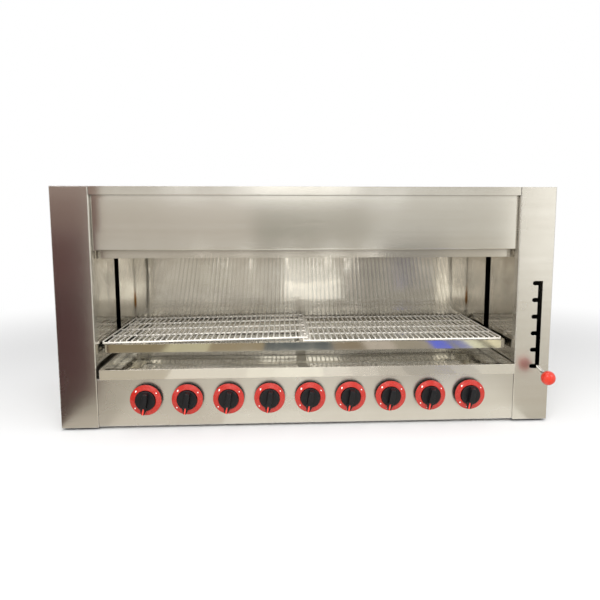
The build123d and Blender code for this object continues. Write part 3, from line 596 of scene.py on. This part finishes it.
def repeated(points, faceSets, moved):
    # one shape at several places; moved holds all the copies' points, (copies, points, 3)
    starts = np.arange(len(moved))[:, None, None] * points
    return moved.reshape(-1, 3), [(f[None] + starts).reshape(-1, f.shape[1]) for f in faceSets]


def joined(*shapes):
    # several shapes as one: each one's faces count on from the points before it
    points, faceSets, count = [], [], 0
    for shapePoints, shapeFaces in shapes:
        points.append(shapePoints)
        faceSets += [f + count for f in shapeFaces]
        count += len(shapePoints)
    return np.vstack(points), faceSets


def capped(points, rings, sides):
    # tube faces on a rings x sides grid, with a flat cap at each end
    ends = np.stack([np.arange(sides)[::-1], np.arange(sides) + (rings - 1) * sides])
    return points.reshape(-1, 3), [gridFaces(rings, sides, closeCols=True), ends]


def circleRound(axis, sides):
    # a unit circle round an axis: cosine times one side of it, plus sine times the other
    side = np.cross(axis, (0.0, 0.0, 1.0))
    side /= np.linalg.norm(side)
    up = np.cross(side, axis)
    angle = np.arange(sides) * 2 * math.pi / sides
    return np.cos(angle)[:, None] * side + np.sin(angle)[:, None] * up


def spun(profile, sides, origin, axis):
    # a profile of (radius, distance along the axis) carried round it
    radius, along = profile.T
    ring = circleRound(axis, sides)
    points = origin + along[:, None, None] * axis + radius[:, None, None] * ring[None]
    return capped(points, len(profile), sides)


def pieceFrom(name, body, shape, finish, replaced=()):
    points, faceSets = shape
    # six times the enclosed volume: turned inside out where it is negative
    volume = 0.0
    for f in faceSets:
        for k in range(1, f.shape[1] - 1):
            a, b, c = points[f[:, 0]], points[f[:, k]], points[f[:, k + 1]]
            volume += (a * np.cross(b, c)).sum()
    if volume < 0:
        faceSets = [f[:, ::-1] for f in faceSets]
    sizes = np.concatenate([np.full(len(f), f.shape[1]) for f in faceSets])
    corners = np.concatenate([f.ravel() for f in faceSets])
    mesh = bpy.data.meshes.new(name)
    mesh.vertices.add(len(points))
    mesh.vertices.foreach_set("co", points.astype(np.float32).ravel())
    mesh.loops.add(len(corners))
    mesh.loops.foreach_set("vertex_index", corners.astype(np.int32))
    mesh.polygons.add(len(sizes))
    mesh.polygons.foreach_set("loop_start", (np.cumsum(sizes) - sizes).astype(np.int32))
    mesh.update(calc_edges=True)
    mesh.validate()
    mesh.polygons.foreach_set("use_smooth", np.ones(len(sizes), bool))
    mesh.set_sharp_from_angle(angle=math.radians(creaseAngle))
    piece = bpy.data.objects.new(name, mesh)
    bpy.context.scene.collection.objects.link(piece)
    mesh.materials.append(finishes[finish])
    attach(piece, body)
    if replaced:
        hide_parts(*replaced)


grateLook = {
    "wires": 37,
    "bars": 5,
    "wireRadius": 0.00175,
    "barRadius": 0.00225,
    "length": 0.474,
    "depth": 0.323,
    "barInset": 0.0026,
    "wander": 0.00035,  # how far a wire strays sideways at most
    "wanderLeast": 0.2,  # of that
    "sideWaves": 5.0,  # radians from end to end
    "upWaves": 7.0,
    "dip": 0.3,  # how far it strays downwards, of its stray sideways
    "sink": 0.00025,  # how deep the welds sink the wires into the bars
    "sides": 12,
    "rings": 9,
    "tipRings": 4,
    "tipFrom": 0.35,  # radians of the quarter circle at which the tip's end cap lies
    "tipLength": 0.8,  # of the radius
    "seeds": {"left": 3, "right": 8},
    "tiltLeast": 0.001,  # radians, below which a grate counts as level
    "tiltedShift": 0.00014,  # metres, keeps a tilted one within its node's box
}


def roundBars(starts, ends, radius, bow=None):
    # straight bars: a circle carried from start to end, drawn in to a rounded tip;
    # starts and ends are (bars, 3), bow gives (bars, rings, 3) added to the centre line
    look = grateLook
    lengths = np.linalg.norm(ends - starts, axis=1)[:, None]
    tip = np.sin(np.linspace(look["tipFrom"], math.pi / 2, look["tipRings"]))
    front = np.linspace(0, look["tipLength"] * radius, len(tip))[None, :] / lengths
    middle = np.linspace(0, 1, look["rings"])[None, 1:-1].repeat(len(starts), 0)
    t = np.concatenate([front, middle, 1 - front[:, ::-1]], 1)
    grow = np.concatenate([tip, np.ones(middle.shape[1]), tip[::-1]]) * radius
    centre = starts[:, None, :] + (ends - starts)[:, None, :] * t[:, :, None]
    if bow is not None:
        centre = centre + bow(t)
    ring = circleRound((ends - starts)[0] / lengths[0], look["sides"])
    points = centre[:, :, None, :] + grow[None, :, None, None] * ring[None, None]
    flat, faceSets = capped(points[0], t.shape[1], look["sides"])
    return repeated(len(flat), faceSets, points.reshape(len(starts), -1, 3))


def grateShape(seed):
    # long wires from front to back, evenly spaced, on cross bars from left to right
    look = grateLook
    rng = np.random.default_rng(seed)
    x = np.linspace(look["wireRadius"], look["length"] - look["wireRadius"], look["wires"])
    level = 2 * look["barRadius"] + look["wireRadius"] - look["sink"]
    starts = np.stack([x, np.zeros_like(x), np.full_like(x, level)], 1)
    ends = starts + (0, look["depth"], 0)
    phase = rng.uniform(0, 2 * math.pi, (2, look["wires"], 1))
    amount = rng.uniform(look["wanderLeast"], 1.0, (look["wires"], 1)) * look["wander"]

    def stray(t):
        # a slow sine sideways and a smaller one up and down
        sideways = amount * np.sin(phase[0] + t * look["sideWaves"])
        upward = -look["dip"] * amount * (1 + np.sin(phase[1] + t * look["upWaves"]))
        return np.stack([sideways, np.zeros_like(t), upward], -1)

    wires = roundBars(starts, ends, look["wireRadius"], stray)
    y = np.linspace(look["barInset"], look["depth"] - look["barInset"], look["bars"])
    barStarts = np.stack([np.zeros_like(y), y, np.full_like(y, look["barRadius"])], 1)
    bars = roundBars(barStarts, barStarts + (look["length"], 0, 0), look["barRadius"])
    return joined(wires, bars)


def layOnRack(shape, node):
    # turned up about its left end by the tilt that its node's height gives, then set on the rack
    look = grateLook
    points, faceSets = shape
    low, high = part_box(node)
    rise = (high.z - low.z) - (2 * look["barRadius"] + 2 * look["wireRadius"])
    tilt = math.asin(max(rise, 0.0) / look["length"])
    shift = look["tiltedShift"] if tilt > look["tiltLeast"] else 0
    x, y, z = points.T
    across = low.x + x * math.cos(tilt) - z * math.sin(tilt) + shift
    height = low.z + x * math.sin(tilt) + z * math.cos(tilt)
    return np.stack([across, low.y + y, height], 1), faceSets


for side, seed in grateLook["seeds"].items():
    node = side + "_grate"
    wires = layOnRack(grateShape(seed), node)
    pieceFrom(side + "GrateWires", node, wires, "wireChrome", [node])
print("grates: wires and bars")

dialLook = {
    "bore": 0.0230,
    "outer": 0.0349,
    "back": 0.0090,
    "edge": 0.0112,
    "front": 0.0150,
    "rimRound": 0.0007,
    "rimArc": (0, 70, 5),  # from and to in degrees, and its points
    "shoulder": ((0.0022, 0.00045), (0.0026, 0.0006)),  # in from the rim, out from the edge
    "boreRound": 0.0009,
    "boreArc": (72, 180, 7),
    "segments": 96,
    # clock angle from the right, half length, half width and lean of each mark
    "marks": (
        (134, 0.0026, 0.0015, 65),
        (34, 0.0016, 0.0012, 120),
        (217, 0.0016, 0.0014, 40),
        (254, 0.0010, 0.0009, 0),
    ),
    "markOut": 0.0004,  # further out than the middle of the cone
    "markProud": 0.0004,
    "markFall": 0.00025,  # how far a mark's edge falls towards the cone
    "markInner": 0.12,  # of its size, the innermost ring
    "markRings": 4,
    "markSides": 20,
}
knobLook = {
    "radius": 0.0223,
    "face": 0.0198,
    "back": 0.0092,
    "front": 0.0340,
    "round": 0.0018,
    "foot": ((0.985, 0.0), (1.0, 0.0004)),  # share of the outline, in front of the back
    "dish": ((0.80, -0.0003), (0.60, -0.0005)),  # the same, in front of the face
    "gripHalf": (0.0065, 0.01825),
    "gripMiddle": 0.00225,
    "gripNarrower": 0.10,  # at its ends
    "gripFoot": ((1.04, -0.001), (0.99, 0.0010)),
    "gripTop": (0.90, 0.12),  # share of the outline, and what the rounding takes off it
    "tailReach": 0.0315,
    "tailRoot": 0.0140,
    "tailHalf": (0.0085, 0.0035),
    "tailFront": 0.0235,
    "tailSunk": 0.0005,
    "tailRound": 0.0012,
    "tailTop": (1, 0.10),
    "pointerFrom": 0.0162,
    "pointerShort": 0.0002,
    "pointerHalf": 0.0019,
    "pointerLayers": ((1.0, -0.001), (1.0, 0.0002), (0.9, 0.0005)),
    "roundRings": 6,
    # how square each outline is, from 2 for a circle, and its points
    "disc": (2, 80),
    "grip": (6, 72),
    "tail": (7, 48),
    "pointer": (5, 28),
    "tilt": 10.0,  # degrees towards the left
}
knobCentres = []
for i in range(1, 10):
    low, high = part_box(f"tap_spindle_{i}")
    knobCentres.append(((low.x + high.x) / 2, (low.z + high.z) / 2))
knobCentres = np.array(knobCentres)


def turnedRing(profile, segments):
    # a closed profile of (radius, depth in front of the face) carried round the dial's axis
    angle = np.arange(segments) * 2 * math.pi / segments
    radius, depth = profile.T
    x = radius[:, None] * np.cos(angle)
    z = radius[:, None] * np.sin(angle)
    y = np.repeat(-depth[:, None], segments, 1)
    points = np.stack([x, y, z], -1).reshape(-1, 3)
    return points, [gridFaces(len(profile), segments, True, True)]


def arc(centre, radius, start, stop, count):
    # points of an arc in the (radius, depth) plane, angles in degrees
    a = np.radians(np.linspace(start, stop, count))
    return np.stack([centre[0] + radius * np.cos(a), centre[1] + radius * np.sin(a)], 1)


def ringShape():
    # a flat back, a rounded rim, a shoulder and a cone up to a rounded bore, turned
    look = dialLook
    bore, outer, rim, lip = look["bore"], look["outer"], look["rimRound"], look["boreRound"]
    profile = [
        [[bore, look["back"]], [outer, look["back"]]],
        arc((outer - rim, look["edge"] - rim), rim, *look["rimArc"]),
        [[outer - inwards, look["edge"] + forwards] for inwards, forwards in look["shoulder"]],
        arc((bore + lip, look["front"] - lip), lip, *look["boreArc"]),
    ]
    return turnedRing(np.concatenate(profile), look["segments"])


def coneMark(angle, halfLong, halfWide, lean):
    # an oval of rings x sides points, laid on the cone a little proud of it
    look = dialLook
    rings, sides = look["markRings"], look["markSides"]
    rho = np.linspace(look["markInner"], 1, rings)[:, None]
    phi = np.arange(sides) * 2 * math.pi / sides
    u, v = rho * halfLong * np.cos(phi), rho * halfWide * np.sin(phi)
    a, tiltAngle = math.radians(angle), math.radians(lean)
    du = u * math.cos(tiltAngle) - v * math.sin(tiltAngle)
    dv = u * math.sin(tiltAngle) + v * math.cos(tiltAngle)
    middle = (look["bore"] + look["outer"]) / 2 + look["markOut"]
    x = middle * math.cos(a) + du
    z = middle * math.sin(a) + dv
    radius = np.hypot(x, z)
    slope = (look["front"] - look["edge"]) / (look["outer"] - look["bore"])
    cone = look["front"] - (radius - look["bore"]) * slope
    depth = cone + look["markProud"] - look["markFall"] * rho**3
    points = np.stack([x, -depth, z], -1).reshape(-1, 3)
    return points, [gridFaces(rings, sides, closeCols=True), np.arange(sides)[None, ::-1]]


def atKnobs(shape):
    # a copy of a shape on the panel at each knob's centre
    points, faceSets = shape
    fronts = np.full(len(knobCentres), frontY)
    centres = np.stack([knobCentres[:, 0], fronts, knobCentres[:, 1]], 1)
    return repeated(len(points), faceSets, points[None] + centres[:, None])


dialRings = atKnobs(ringShape())
pieceFrom("dialRings", "cabinet", dialRings, "dialRed", ["dial_bezels"])
dialMarks = atKnobs(joined(*[coneMark(*mark) for mark in dialLook["marks"]]))
pieceFrom("dialMarks", "cabinet", dialMarks, "markWhite")


def superOutline(halfX, halfZ, power, count, taper=None):
    # |x / halfX| ^ power + |z / halfZ| ^ power = 1, with its width changed by taper(z)
    a = np.arange(count) * 2 * math.pi / count
    c, s = np.cos(a), np.sin(a)
    x = halfX * np.sign(c) * np.abs(c) ** (2 / power)
    z = halfZ * np.sign(s) * np.abs(s) ** (2 / power)
    if taper is not None:
        x = x * taper(z)
    return np.stack([x, z], 1)


def stacked(outline, profile):
    # an outline repeated at each (shrink, depth) of a profile, and capped
    shrink, depth = profile.T
    middle = outline.mean(0)
    flat = middle + (outline - middle)[None] * shrink[:, None, None]
    y = np.repeat(-depth[:, None], len(outline), 1)
    points = np.stack([flat[..., 0], y, flat[..., 1]], -1)
    return capped(points, len(profile), len(outline))


def layers(pairs, level):
    # (share of the outline, depth) from pairs of a share and a distance in front of a level
    return [[share, level + forwards] for share, forwards in pairs]


def knobShape():
    # a shouldered disc, a bar grip that narrows upwards and a wedge for the pointer
    look = knobLook
    r, face, edge = look["radius"], look["face"], look["round"]
    angle = np.linspace(0, math.pi / 2, look["roundRings"])
    fall, rise = 1 - np.cos(angle), 1 - np.sin(angle)
    shoulder = np.stack([1 - edge / r * fall, face - edge * rise], 1)
    foot, dish = layers(look["foot"], look["back"]), layers(look["dish"], face)
    disc = stacked(superOutline(r, r, *look["disc"]), np.concatenate([foot, shoulder, dish]))
    halfX, halfZ = look["gripHalf"]
    narrower = look["gripNarrower"]
    bulge = superOutline(
        halfX, halfZ, *look["grip"], lambda z: 1 - narrower * np.abs(z / halfZ) ** 3
    )
    share, less = look["gripTop"]
    gripTop = np.stack([share - less * fall, look["front"] - edge * rise], 1)
    gripProfile = np.concatenate([layers(look["gripFoot"], face), gripTop])
    grip = stacked(bulge + (0, look["gripMiddle"]), gripProfile)
    wide, narrow = look["tailHalf"]
    half = (look["tailReach"] - look["tailRoot"]) / 2
    wedge = superOutline(
        1.0, half, *look["tail"], lambda z: narrow + (wide - narrow) * (z / half + 1) / 2
    )
    share, less = look["tailTop"]
    tailTop = np.stack([share - less * fall, look["tailFront"] - look["tailRound"] * rise], 1)
    tailProfile = np.concatenate([[[1.0, face - look["tailSunk"]]], tailTop])
    tail = stacked(wedge - (0, look["tailRoot"] + half), tailProfile)
    return joined(disc, grip, tail)


def pointerShape():
    # the red strip let into the tail
    look = knobLook
    start, end = look["pointerFrom"], look["tailReach"] - look["pointerShort"]
    outline = superOutline(look["pointerHalf"], (end - start) / 2, *look["pointer"])
    profile = np.array(layers(look["pointerLayers"], look["tailFront"]))
    return stacked(outline - (0, (start + end) / 2), profile)


def leaned(shape, degrees):
    # turned about the dial's axis, the pointer towards the left
    points, faceSets = shape
    c, s = math.cos(math.radians(degrees)), math.sin(math.radians(degrees))
    x, y, z = points.T
    return np.stack([x * c + z * s, y, z * c - x * s], 1), faceSets


def shifted(shape, move):
    # every point moved by the same step
    points, faceSets = shape
    return points + move, faceSets


knob, pointer = (leaned(shape, knobLook["tilt"]) for shape in (knobShape(), pointerShape()))
for i, (x, z) in enumerate(knobCentres, 1):
    body = f"knob_{i}"
    grip, strip = (shifted(shape, np.array([x, frontY, z])) for shape in (knob, pointer))
    pieceFrom(f"knobGrip{i}", body, grip, "knobBlack", [body])
    pieceFrom(f"knobPointer{i}", body, strip, "pointerRed")
print("dials: rings, marks, knobs and pointers")

leverLook = {
    "pivotX": 0.538,
    "pivotZ": 0.16577,
    "toSlot": 0.203,  # from the pivot forwards to the column's front
    "overhang": 0.066,  # from there to the ball's middle
    "turn": 1.876,  # degrees towards the left
    "droop": 9.0,  # degrees
    "rodRadius": 0.004,
    "rodFrom": (0.006, 0.10),  # from the pivot, the rod's first two rings
    "rodTip": ((0.004, -0.0012), (0.0034, -0.0002), (0.003, 0.004)),  # radius, past the flat
    "hub": ((0.0082, -0.0075), (0.009, -0.0067), (0.009, 0.0067), (0.0082, 0.0075)),
    "ballRadius": 0.016,
    "flat": 0.006,  # radius of the flat where the rod goes in
    "mouth": ((0.0034, 0.0006), (0.0052, 0.0001)),
    "ballRings": 40,
    "ballShort": 0.03,  # radians, from its last ring to its front pole
    "rodSides": 32,
    "hubSides": 40,
    "ballSides": 64,
}


def leverShapes():
    # rod and ball are profiles spun round a line that is aimed from the pivot out of the slot,
    # the hub is one spun round the upright pivot; the ball's profile is an arc beyond its flat
    look = leverLook
    turn, droop = math.radians(look["turn"]), math.radians(look["droop"])
    pivot = np.array([look["pivotX"], frontY + look["toSlot"], look["pivotZ"]])
    level = math.cos(droop)
    aim = np.array([-math.sin(turn) * level, -math.cos(turn) * level, -math.sin(droop)])
    reach = (look["toSlot"] + look["overhang"]) / math.cos(turn) / level
    radius = look["ballRadius"]
    flatDepth = math.sqrt(radius**2 - look["flat"] ** 2)
    shank = [[look["rodRadius"], along] for along in look["rodFrom"]]
    rodProfile = np.array(shank + layers(look["rodTip"], reach - flatDepth))
    rod = spun(rodProfile, look["rodSides"], pivot, aim)
    hub = spun(np.array(look["hub"]), look["hubSides"], pivot, upright)
    start, stop = math.asin(look["flat"] / radius), math.pi - look["ballShort"]
    around = np.linspace(start, stop, look["ballRings"])
    ballArc = np.stack([radius * np.sin(around), -radius * np.cos(around)], 1)
    ballProfile = np.concatenate([layers(look["mouth"], -flatDepth), ballArc])
    ball = spun(ballProfile, look["ballSides"], pivot + aim * reach, aim)
    return joined(rod, hub), ball


rod, ball = leverShapes()
pieceFrom("leverRod", "lever", rod, "rodChrome", ["lift_lever"])
pieceFrom("leverBall", "lever", ball, "ballRed", ["lift_lever"])
print("lever: rod and ball")

footLook = {
    "inset": 0.018,
    "profile": (
        (0.0162, 0.0), (0.0176, 0.0006), (0.018, 0.0020), (0.0176, 0.0052), (0.0166, 0.006),
    ),
    "sides": 40,
}
screwLook = {
    "profile": (
        (0.0045, 0.0), (0.0045, 0.0008), (0.0041, 0.0016),
        (0.0031, 0.0022), (0.0016, 0.0025), (0.0004, 0.0025),
    ),
    "height": 0.0025,
    "sides": 24,
    "fromFront": 0.014,
    "sideHeights": (0.096, 0.301, 0.506),
    "backAcross": (-0.55, 0.55),
    "backHeights": (0.066, 0.486),
}


def atPlaces(places, axis, look):
    # a profile of (radius, distance along the axis) spun at each place
    profile, axis = np.array(look["profile"]), np.array(axis, float)
    return joined(*[spun(profile, look["sides"], np.array(place), axis) for place in places])


def feetShape():
    # a foot in each corner of the feet's box
    inset = footLook["inset"]
    low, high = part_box("feet")
    across, deep = (low.x + inset, high.x - inset), (low.y + inset, high.y - inset)
    return atPlaces([(x, y, 0.0) for x in across for y in deep], upright, footLook)


def screwsShape():
    # screw heads in rows up the right, left and back of the cabinet
    look = screwLook
    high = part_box("casing_screws")[1]
    sideX, sideY = high.x - look["height"], frontY + look["fromFront"]
    rearY = high.y - look["height"]
    right = [(sideX, sideY, z) for z in look["sideHeights"]]
    left = [(-sideX, sideY, z) for z in look["sideHeights"]]
    back = [(x, rearY, z) for x in look["backAcross"] for z in look["backHeights"]]
    rows = ((right, (1, 0, 0)), (left, (-1, 0, 0)), (back, (0, 1, 0)))
    return joined(*[atPlaces(places, axis, look) for places, axis in rows])


pieceFrom("rubberFeet", "cabinet", feetShape(), "footRubber", ["feet"])
screws = screwsShape()
pieceFrom("panHeadScrews", "cabinet", screws, "screwZinc", ["casing_screws"])
print("feet and screws")

stageLook = {
    "floor": (0.86, 0.86, 0.86),
    "floorHalf": 14.0,
    "worldDiffuse": 0.52,
    "fadeStart": 0.9,
    "fadeEnd": 2.2,
    "cardLevel": 0.002,  # the lying cards' height
}


def stagePlane(name, corners, material):
    # one quad that is no part of the object
    mesh = bpy.data.meshes.new(name)
    mesh.from_pydata(corners, [], [(0, 1, 2, 3)])
    plane = bpy.data.objects.new(name, mesh)
    bpy.context.scene.collection.objects.link(plane)
    mesh.materials.append(material)
    plane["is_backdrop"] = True
    return plane


def floorPaint():  # matt, and plain white far off where a camera or a mirror sees it
    made = Finish("studioFloor")
    x, y, z = made.axes()
    far = (x * x + y * y).math("SQRT").step(stageLook["fadeStart"], stageLook["fadeEnd"])
    seen = made.seen("Is Camera Ray", "Is Glossy Ray")
    matt = made.add("BsdfDiffuse", {}, {"Color": stageLook["floor"]})
    white = made.add("Emission", {}, {"Color": (1, 1, 1), "Strength": 1.0})
    return made.close(made.add("MixShader", {}, [far * seen, matt, white]))


half = stageLook["floorHalf"]
corners = [(-half, -half, 0), (half, -half, 0), (half, half, 0), (-half, half, 0)]
stagePlane("studioFloor", corners, floorPaint())

world = bpy.context.scene.world or bpy.data.worlds.new("studio")
bpy.context.scene.world = world
sky = Finish("studio", world)
seen = sky.seen("Is Camera Ray", "Is Glossy Ray", "Is Transmission Ray")
strength = seen * (1 - stageLook["worldDiffuse"]) + stageLook["worldDiffuse"]
sky.close(sky.add("Background", {}, {"Color": (1, 1, 1), "Strength": strength}))

# cards that only the metal sees; upright ones: left, right, foot, top, distance, colour
uprightCards = {
    "maroonLow": (-0.99, -0.545, -0.02, 0.30, -0.42, (0.075, 0.027, 0.028)),
    "maroonMiddle": (-0.99, -0.545, 0.30, 0.44, -0.42, (0.105, 0.042, 0.040)),
    "maroonHigh": (-0.99, -0.535, 0.44, 0.53, -0.42, (0.22, 0.14, 0.12)),
    "maroonTop": (-0.99, -0.525, 0.53, 0.70, -0.42, (0.34, 0.25, 0.215)),
    "roomLowLeft": (-1.35, -0.22, 0.0, 0.31, -2.2, (0.66, 0.63, 0.57)),
    "roomLowMiddle": (-0.22, 0.50, 0.0, 0.31, -2.2, (0.56, 0.53, 0.48)),
    "roomLowRight": (0.50, 0.86, 0.0, 0.31, -2.2, (0.30, 0.29, 0.27)),
    "roomLowEnd": (0.86, 1.27, 0.0, 0.31, -2.2, (0.60, 0.56, 0.48)),
    "roomHighLeft": (-1.35, -0.22, 0.31, 0.586, -2.2, (0.62, 0.57, 0.50)),
    "roomHighMiddle": (-0.22, 0.42, 0.31, 0.586, -2.2, (0.39, 0.37, 0.31)),
    "roomHighRight": (0.42, 1.27, 0.31, 0.586, -2.2, (0.70, 0.68, 0.62)),
    "doorStep": (-0.08, 0.34, 0.0, 0.035, -2.195, (2.6, 2.57, 2.4)),
    "beamLeft": (-1.35, -0.70, 0.586, 0.658, -2.2, (1.25, 1.23, 1.16)),
    "beamLamp": (-0.70, 0.63, 0.586, 0.658, -2.2, (2.0, 2.0, 1.98)),
    "beamRight": (0.63, 1.27, 0.586, 0.658, -2.2, (1.25, 1.23, 1.16)),
    "skylight": (-0.22, 0.33, 0.66, 0.95, -2.2, (2.1, 2.07, 1.95)),
    "ceiling": (-2.6, 2.6, 0.60, 2.30, -2.21, (0.42, 0.40, 0.36)),
    "window": (1.27, 2.0, 0.06, 1.18, -2.2, (1.4, 1.38, 1.30)),
}
# thin bright upright ones, each a dash at the top of the cavity's back
gleamCards = {
    "lefts": (-0.513, -0.276, -0.043, 0.185, 0.232, 0.405, 0.453),
    "width": 0.014,
    "lean": 0.006,
    "foot": 0.11,
    "top": 0.27,
    "away": -2.19,
    "colour": (5.0, 5.0, 4.9),
}
# lying ones, in rows: near and far edge, then where each colour begins from the left
lyingCards = {
    "near": (-0.19, -0.29, [
        (-0.80, (0.10, 0.06, 0.05)), (-0.57, (0.62, 0.57, 0.49)), (-0.46, (0.80, 0.74, 0.64)),
        (-0.20, (1.02, 0.98, 0.88)), (0.52, (0.66, 0.62, 0.53)), (1.0, None),
    ]),
    "table": (-0.29, -0.56, [
        (-0.80, (0.075, 0.045, 0.04)), (-0.57, (0.52, 0.48, 0.40)), (-0.46, (0.70, 0.65, 0.56)),
        (-0.25, (0.84, 0.79, 0.69)), (0.35, (0.98, 0.94, 0.83)), (0.53, (0.66, 0.61, 0.52)),
        (1.2, None),
    ]),
    "lip": (-0.56, -0.84, [
        (-0.80, (0.56, 0.51, 0.42)), (-0.41, (0.90, 0.87, 0.79)), (-0.17, (1.06, 1.04, 0.94)),
        (0.06, (0.85, 0.82, 0.76)), (0.15, (0.70, 0.67, 0.62)), (0.23, (0.59, 0.56, 0.51)),
        (0.32, (0.43, 0.41, 0.38)), (0.47, (0.57, 0.55, 0.51)), (0.54, (0.72, 0.70, 0.64)),
        (1.4, None),
    ]),
    "rail": (-0.84, -1.13, [
        (-0.80, (0.40, 0.33, 0.21)), (-0.49, (0.78, 0.73, 0.51)), (-0.33, (0.48, 0.40, 0.27)),
        (-0.13, (0.17, 0.19, 0.20)), (0.125, (0.40, 0.33, 0.24)), (0.244, (0.78, 0.70, 0.62)),
        (0.356, (0.55, 0.50, 0.41)), (0.493, (0.22, 0.28, 1.25)), (0.56, (0.40, 0.40, 0.45)),
        (0.586, (0.36, 0.39, 0.83)), (0.632, (1.2, 1.2, 0.93)), (0.686, (0.15, 0.14, 0.11)),
        (0.714, (1.28, 1.2, 0.88)), (0.775, (0.64, 0.60, 0.52)), (1.6, None),
    ]),
    "far": (-1.13, -2.2, [
        (-2.06, (0.66, 0.63, 0.57)), (-0.08, (2.3, 2.28, 2.14)), (0.30, (0.42, 0.40, 0.36)),
        (0.90, (0.92, 0.89, 0.80)), (2.2, None),
    ]),
}


def addCard(name, corners, colour):
    paper = Finish(name)
    glow = paper.close(paper.add("Emission", {}, {"Color": colour, "Strength": 1.0}))
    card = stagePlane(name, corners, glow)
    card.visible_camera = False
    card.visible_diffuse = False
    card.visible_shadow = False
    card.visible_transmission = False


def addUprightCards():
    for name, (left, right, foot, top, y, colour) in uprightCards.items():
        corners = [(left, y, foot), (right, y, foot), (right, y, top), (left, y, top)]
        addCard(name, corners, colour)


def addGleamCards():  # parallelograms, their tops shifted by the lean
    cards = gleamCards
    y, foot, top = cards["away"], cards["foot"], cards["top"]
    for k, left in enumerate(cards["lefts"]):
        right = left + cards["width"]
        topLeft, topRight = left + cards["lean"], right + cards["lean"]
        corners = [(left, y, foot), (right, y, foot), (topRight, y, top), (topLeft, y, top)]
        addCard(f"gleam{k}", corners, cards["colour"])


def addLyingCards():
    z = stageLook["cardLevel"]
    for row, (near, far, patches) in lyingCards.items():
        for k, (left, colour) in enumerate(patches[:-1]):
            right = patches[k + 1][0]
            corners = [(left, far, z), (right, far, z), (right, near, z), (left, near, z)]
            addCard(f"{row}Patch{k}", corners, colour)


addUprightCards()
addGleamCards()
addLyingCards()

# softboxes: place, aim, width, height, watts
softboxes = {
    "keyLight": ((-0.9, -1.9, 2.1), (0.0, 0.0, 0.25), 1.6, 1.0, 20.0),
    "fillLight": ((1.5, -1.4, 1.5), (0.0, 0.0, 0.25), 1.2, 1.2, 9.0),
    "topLight": ((0.0, 0.1, 2.2), (0.0, 0.0, 0.3), 1.8, 0.9, 12.0),
    "frontLight": ((0.0, -1.9, 1.15), (0.0, 0.0, 0.20), 1.8, 0.7, 30.0),
}
for name, (place, target, width, height, watts) in softboxes.items():
    light = bpy.data.lights.new(name, "AREA")
    light.shape = "RECTANGLE"
    light.size = width
    light.size_y = height
    light.energy = watts
    lamp = bpy.data.objects.new(name, light)
    lamp.location = place
    lamp.rotation_euler = (Vector(target) - Vector(place)).to_track_quat("-Z", "Y").to_euler()
    lamp.visible_glossy = name != "frontLight"  # it would show as a glow on the fascia
    bpy.context.scene.collection.objects.link(lamp)

photoView = {
    "place": (-0.0593, -1.5096, 0.4855),
    "yaw": 0.0583,  # radians, as are the next two
    "pitch": -0.1253,
    "roll": -0.0003,
    "picture": 600,  # pixels, wide and high
    "focal": 597.4,  # of those pixels
    "centre": (317.4, 289.4),
    "sensor": 36.0,
    "clip": (0.05, 60.0),
}


def addCamera():
    # a level frame turned by yaw and pitch to look forward, then rolled about that line
    view = photoView
    pixels = view["picture"]
    camera = bpy.data.cameras.new("photoCamera")
    camera.sensor_width = view["sensor"]
    camera.lens = view["focal"] * view["sensor"] / pixels
    camera.shift_x = (pixels / 2 - view["centre"][0]) / pixels
    camera.shift_y = (view["centre"][1] - pixels / 2) / pixels
    camera.clip_start, camera.clip_end = view["clip"]
    viewer = bpy.data.objects.new("photoCamera", camera)
    bpy.context.scene.collection.objects.link(viewer)
    yaw, pitch, roll = view["yaw"], view["pitch"], view["roll"]
    level = math.cos(pitch)
    forward = Vector((math.sin(yaw) * level, math.cos(yaw) * level, math.sin(pitch)))
    side = Vector((math.cos(yaw), -math.sin(yaw), 0))
    head = side.cross(forward)
    right = side * math.cos(roll) + head * math.sin(roll)
    up = head * math.cos(roll) - side * math.sin(roll)
    turned = Matrix((right, up, -forward)).transposed().to_4x4()
    viewer.matrix_world = Matrix.Translation(view["place"]) @ turned
    bpy.context.scene.camera = viewer


addCamera()
bpy.context.scene.view_settings.view_transform = "Standard"
print("floor, light and camera")

low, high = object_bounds()
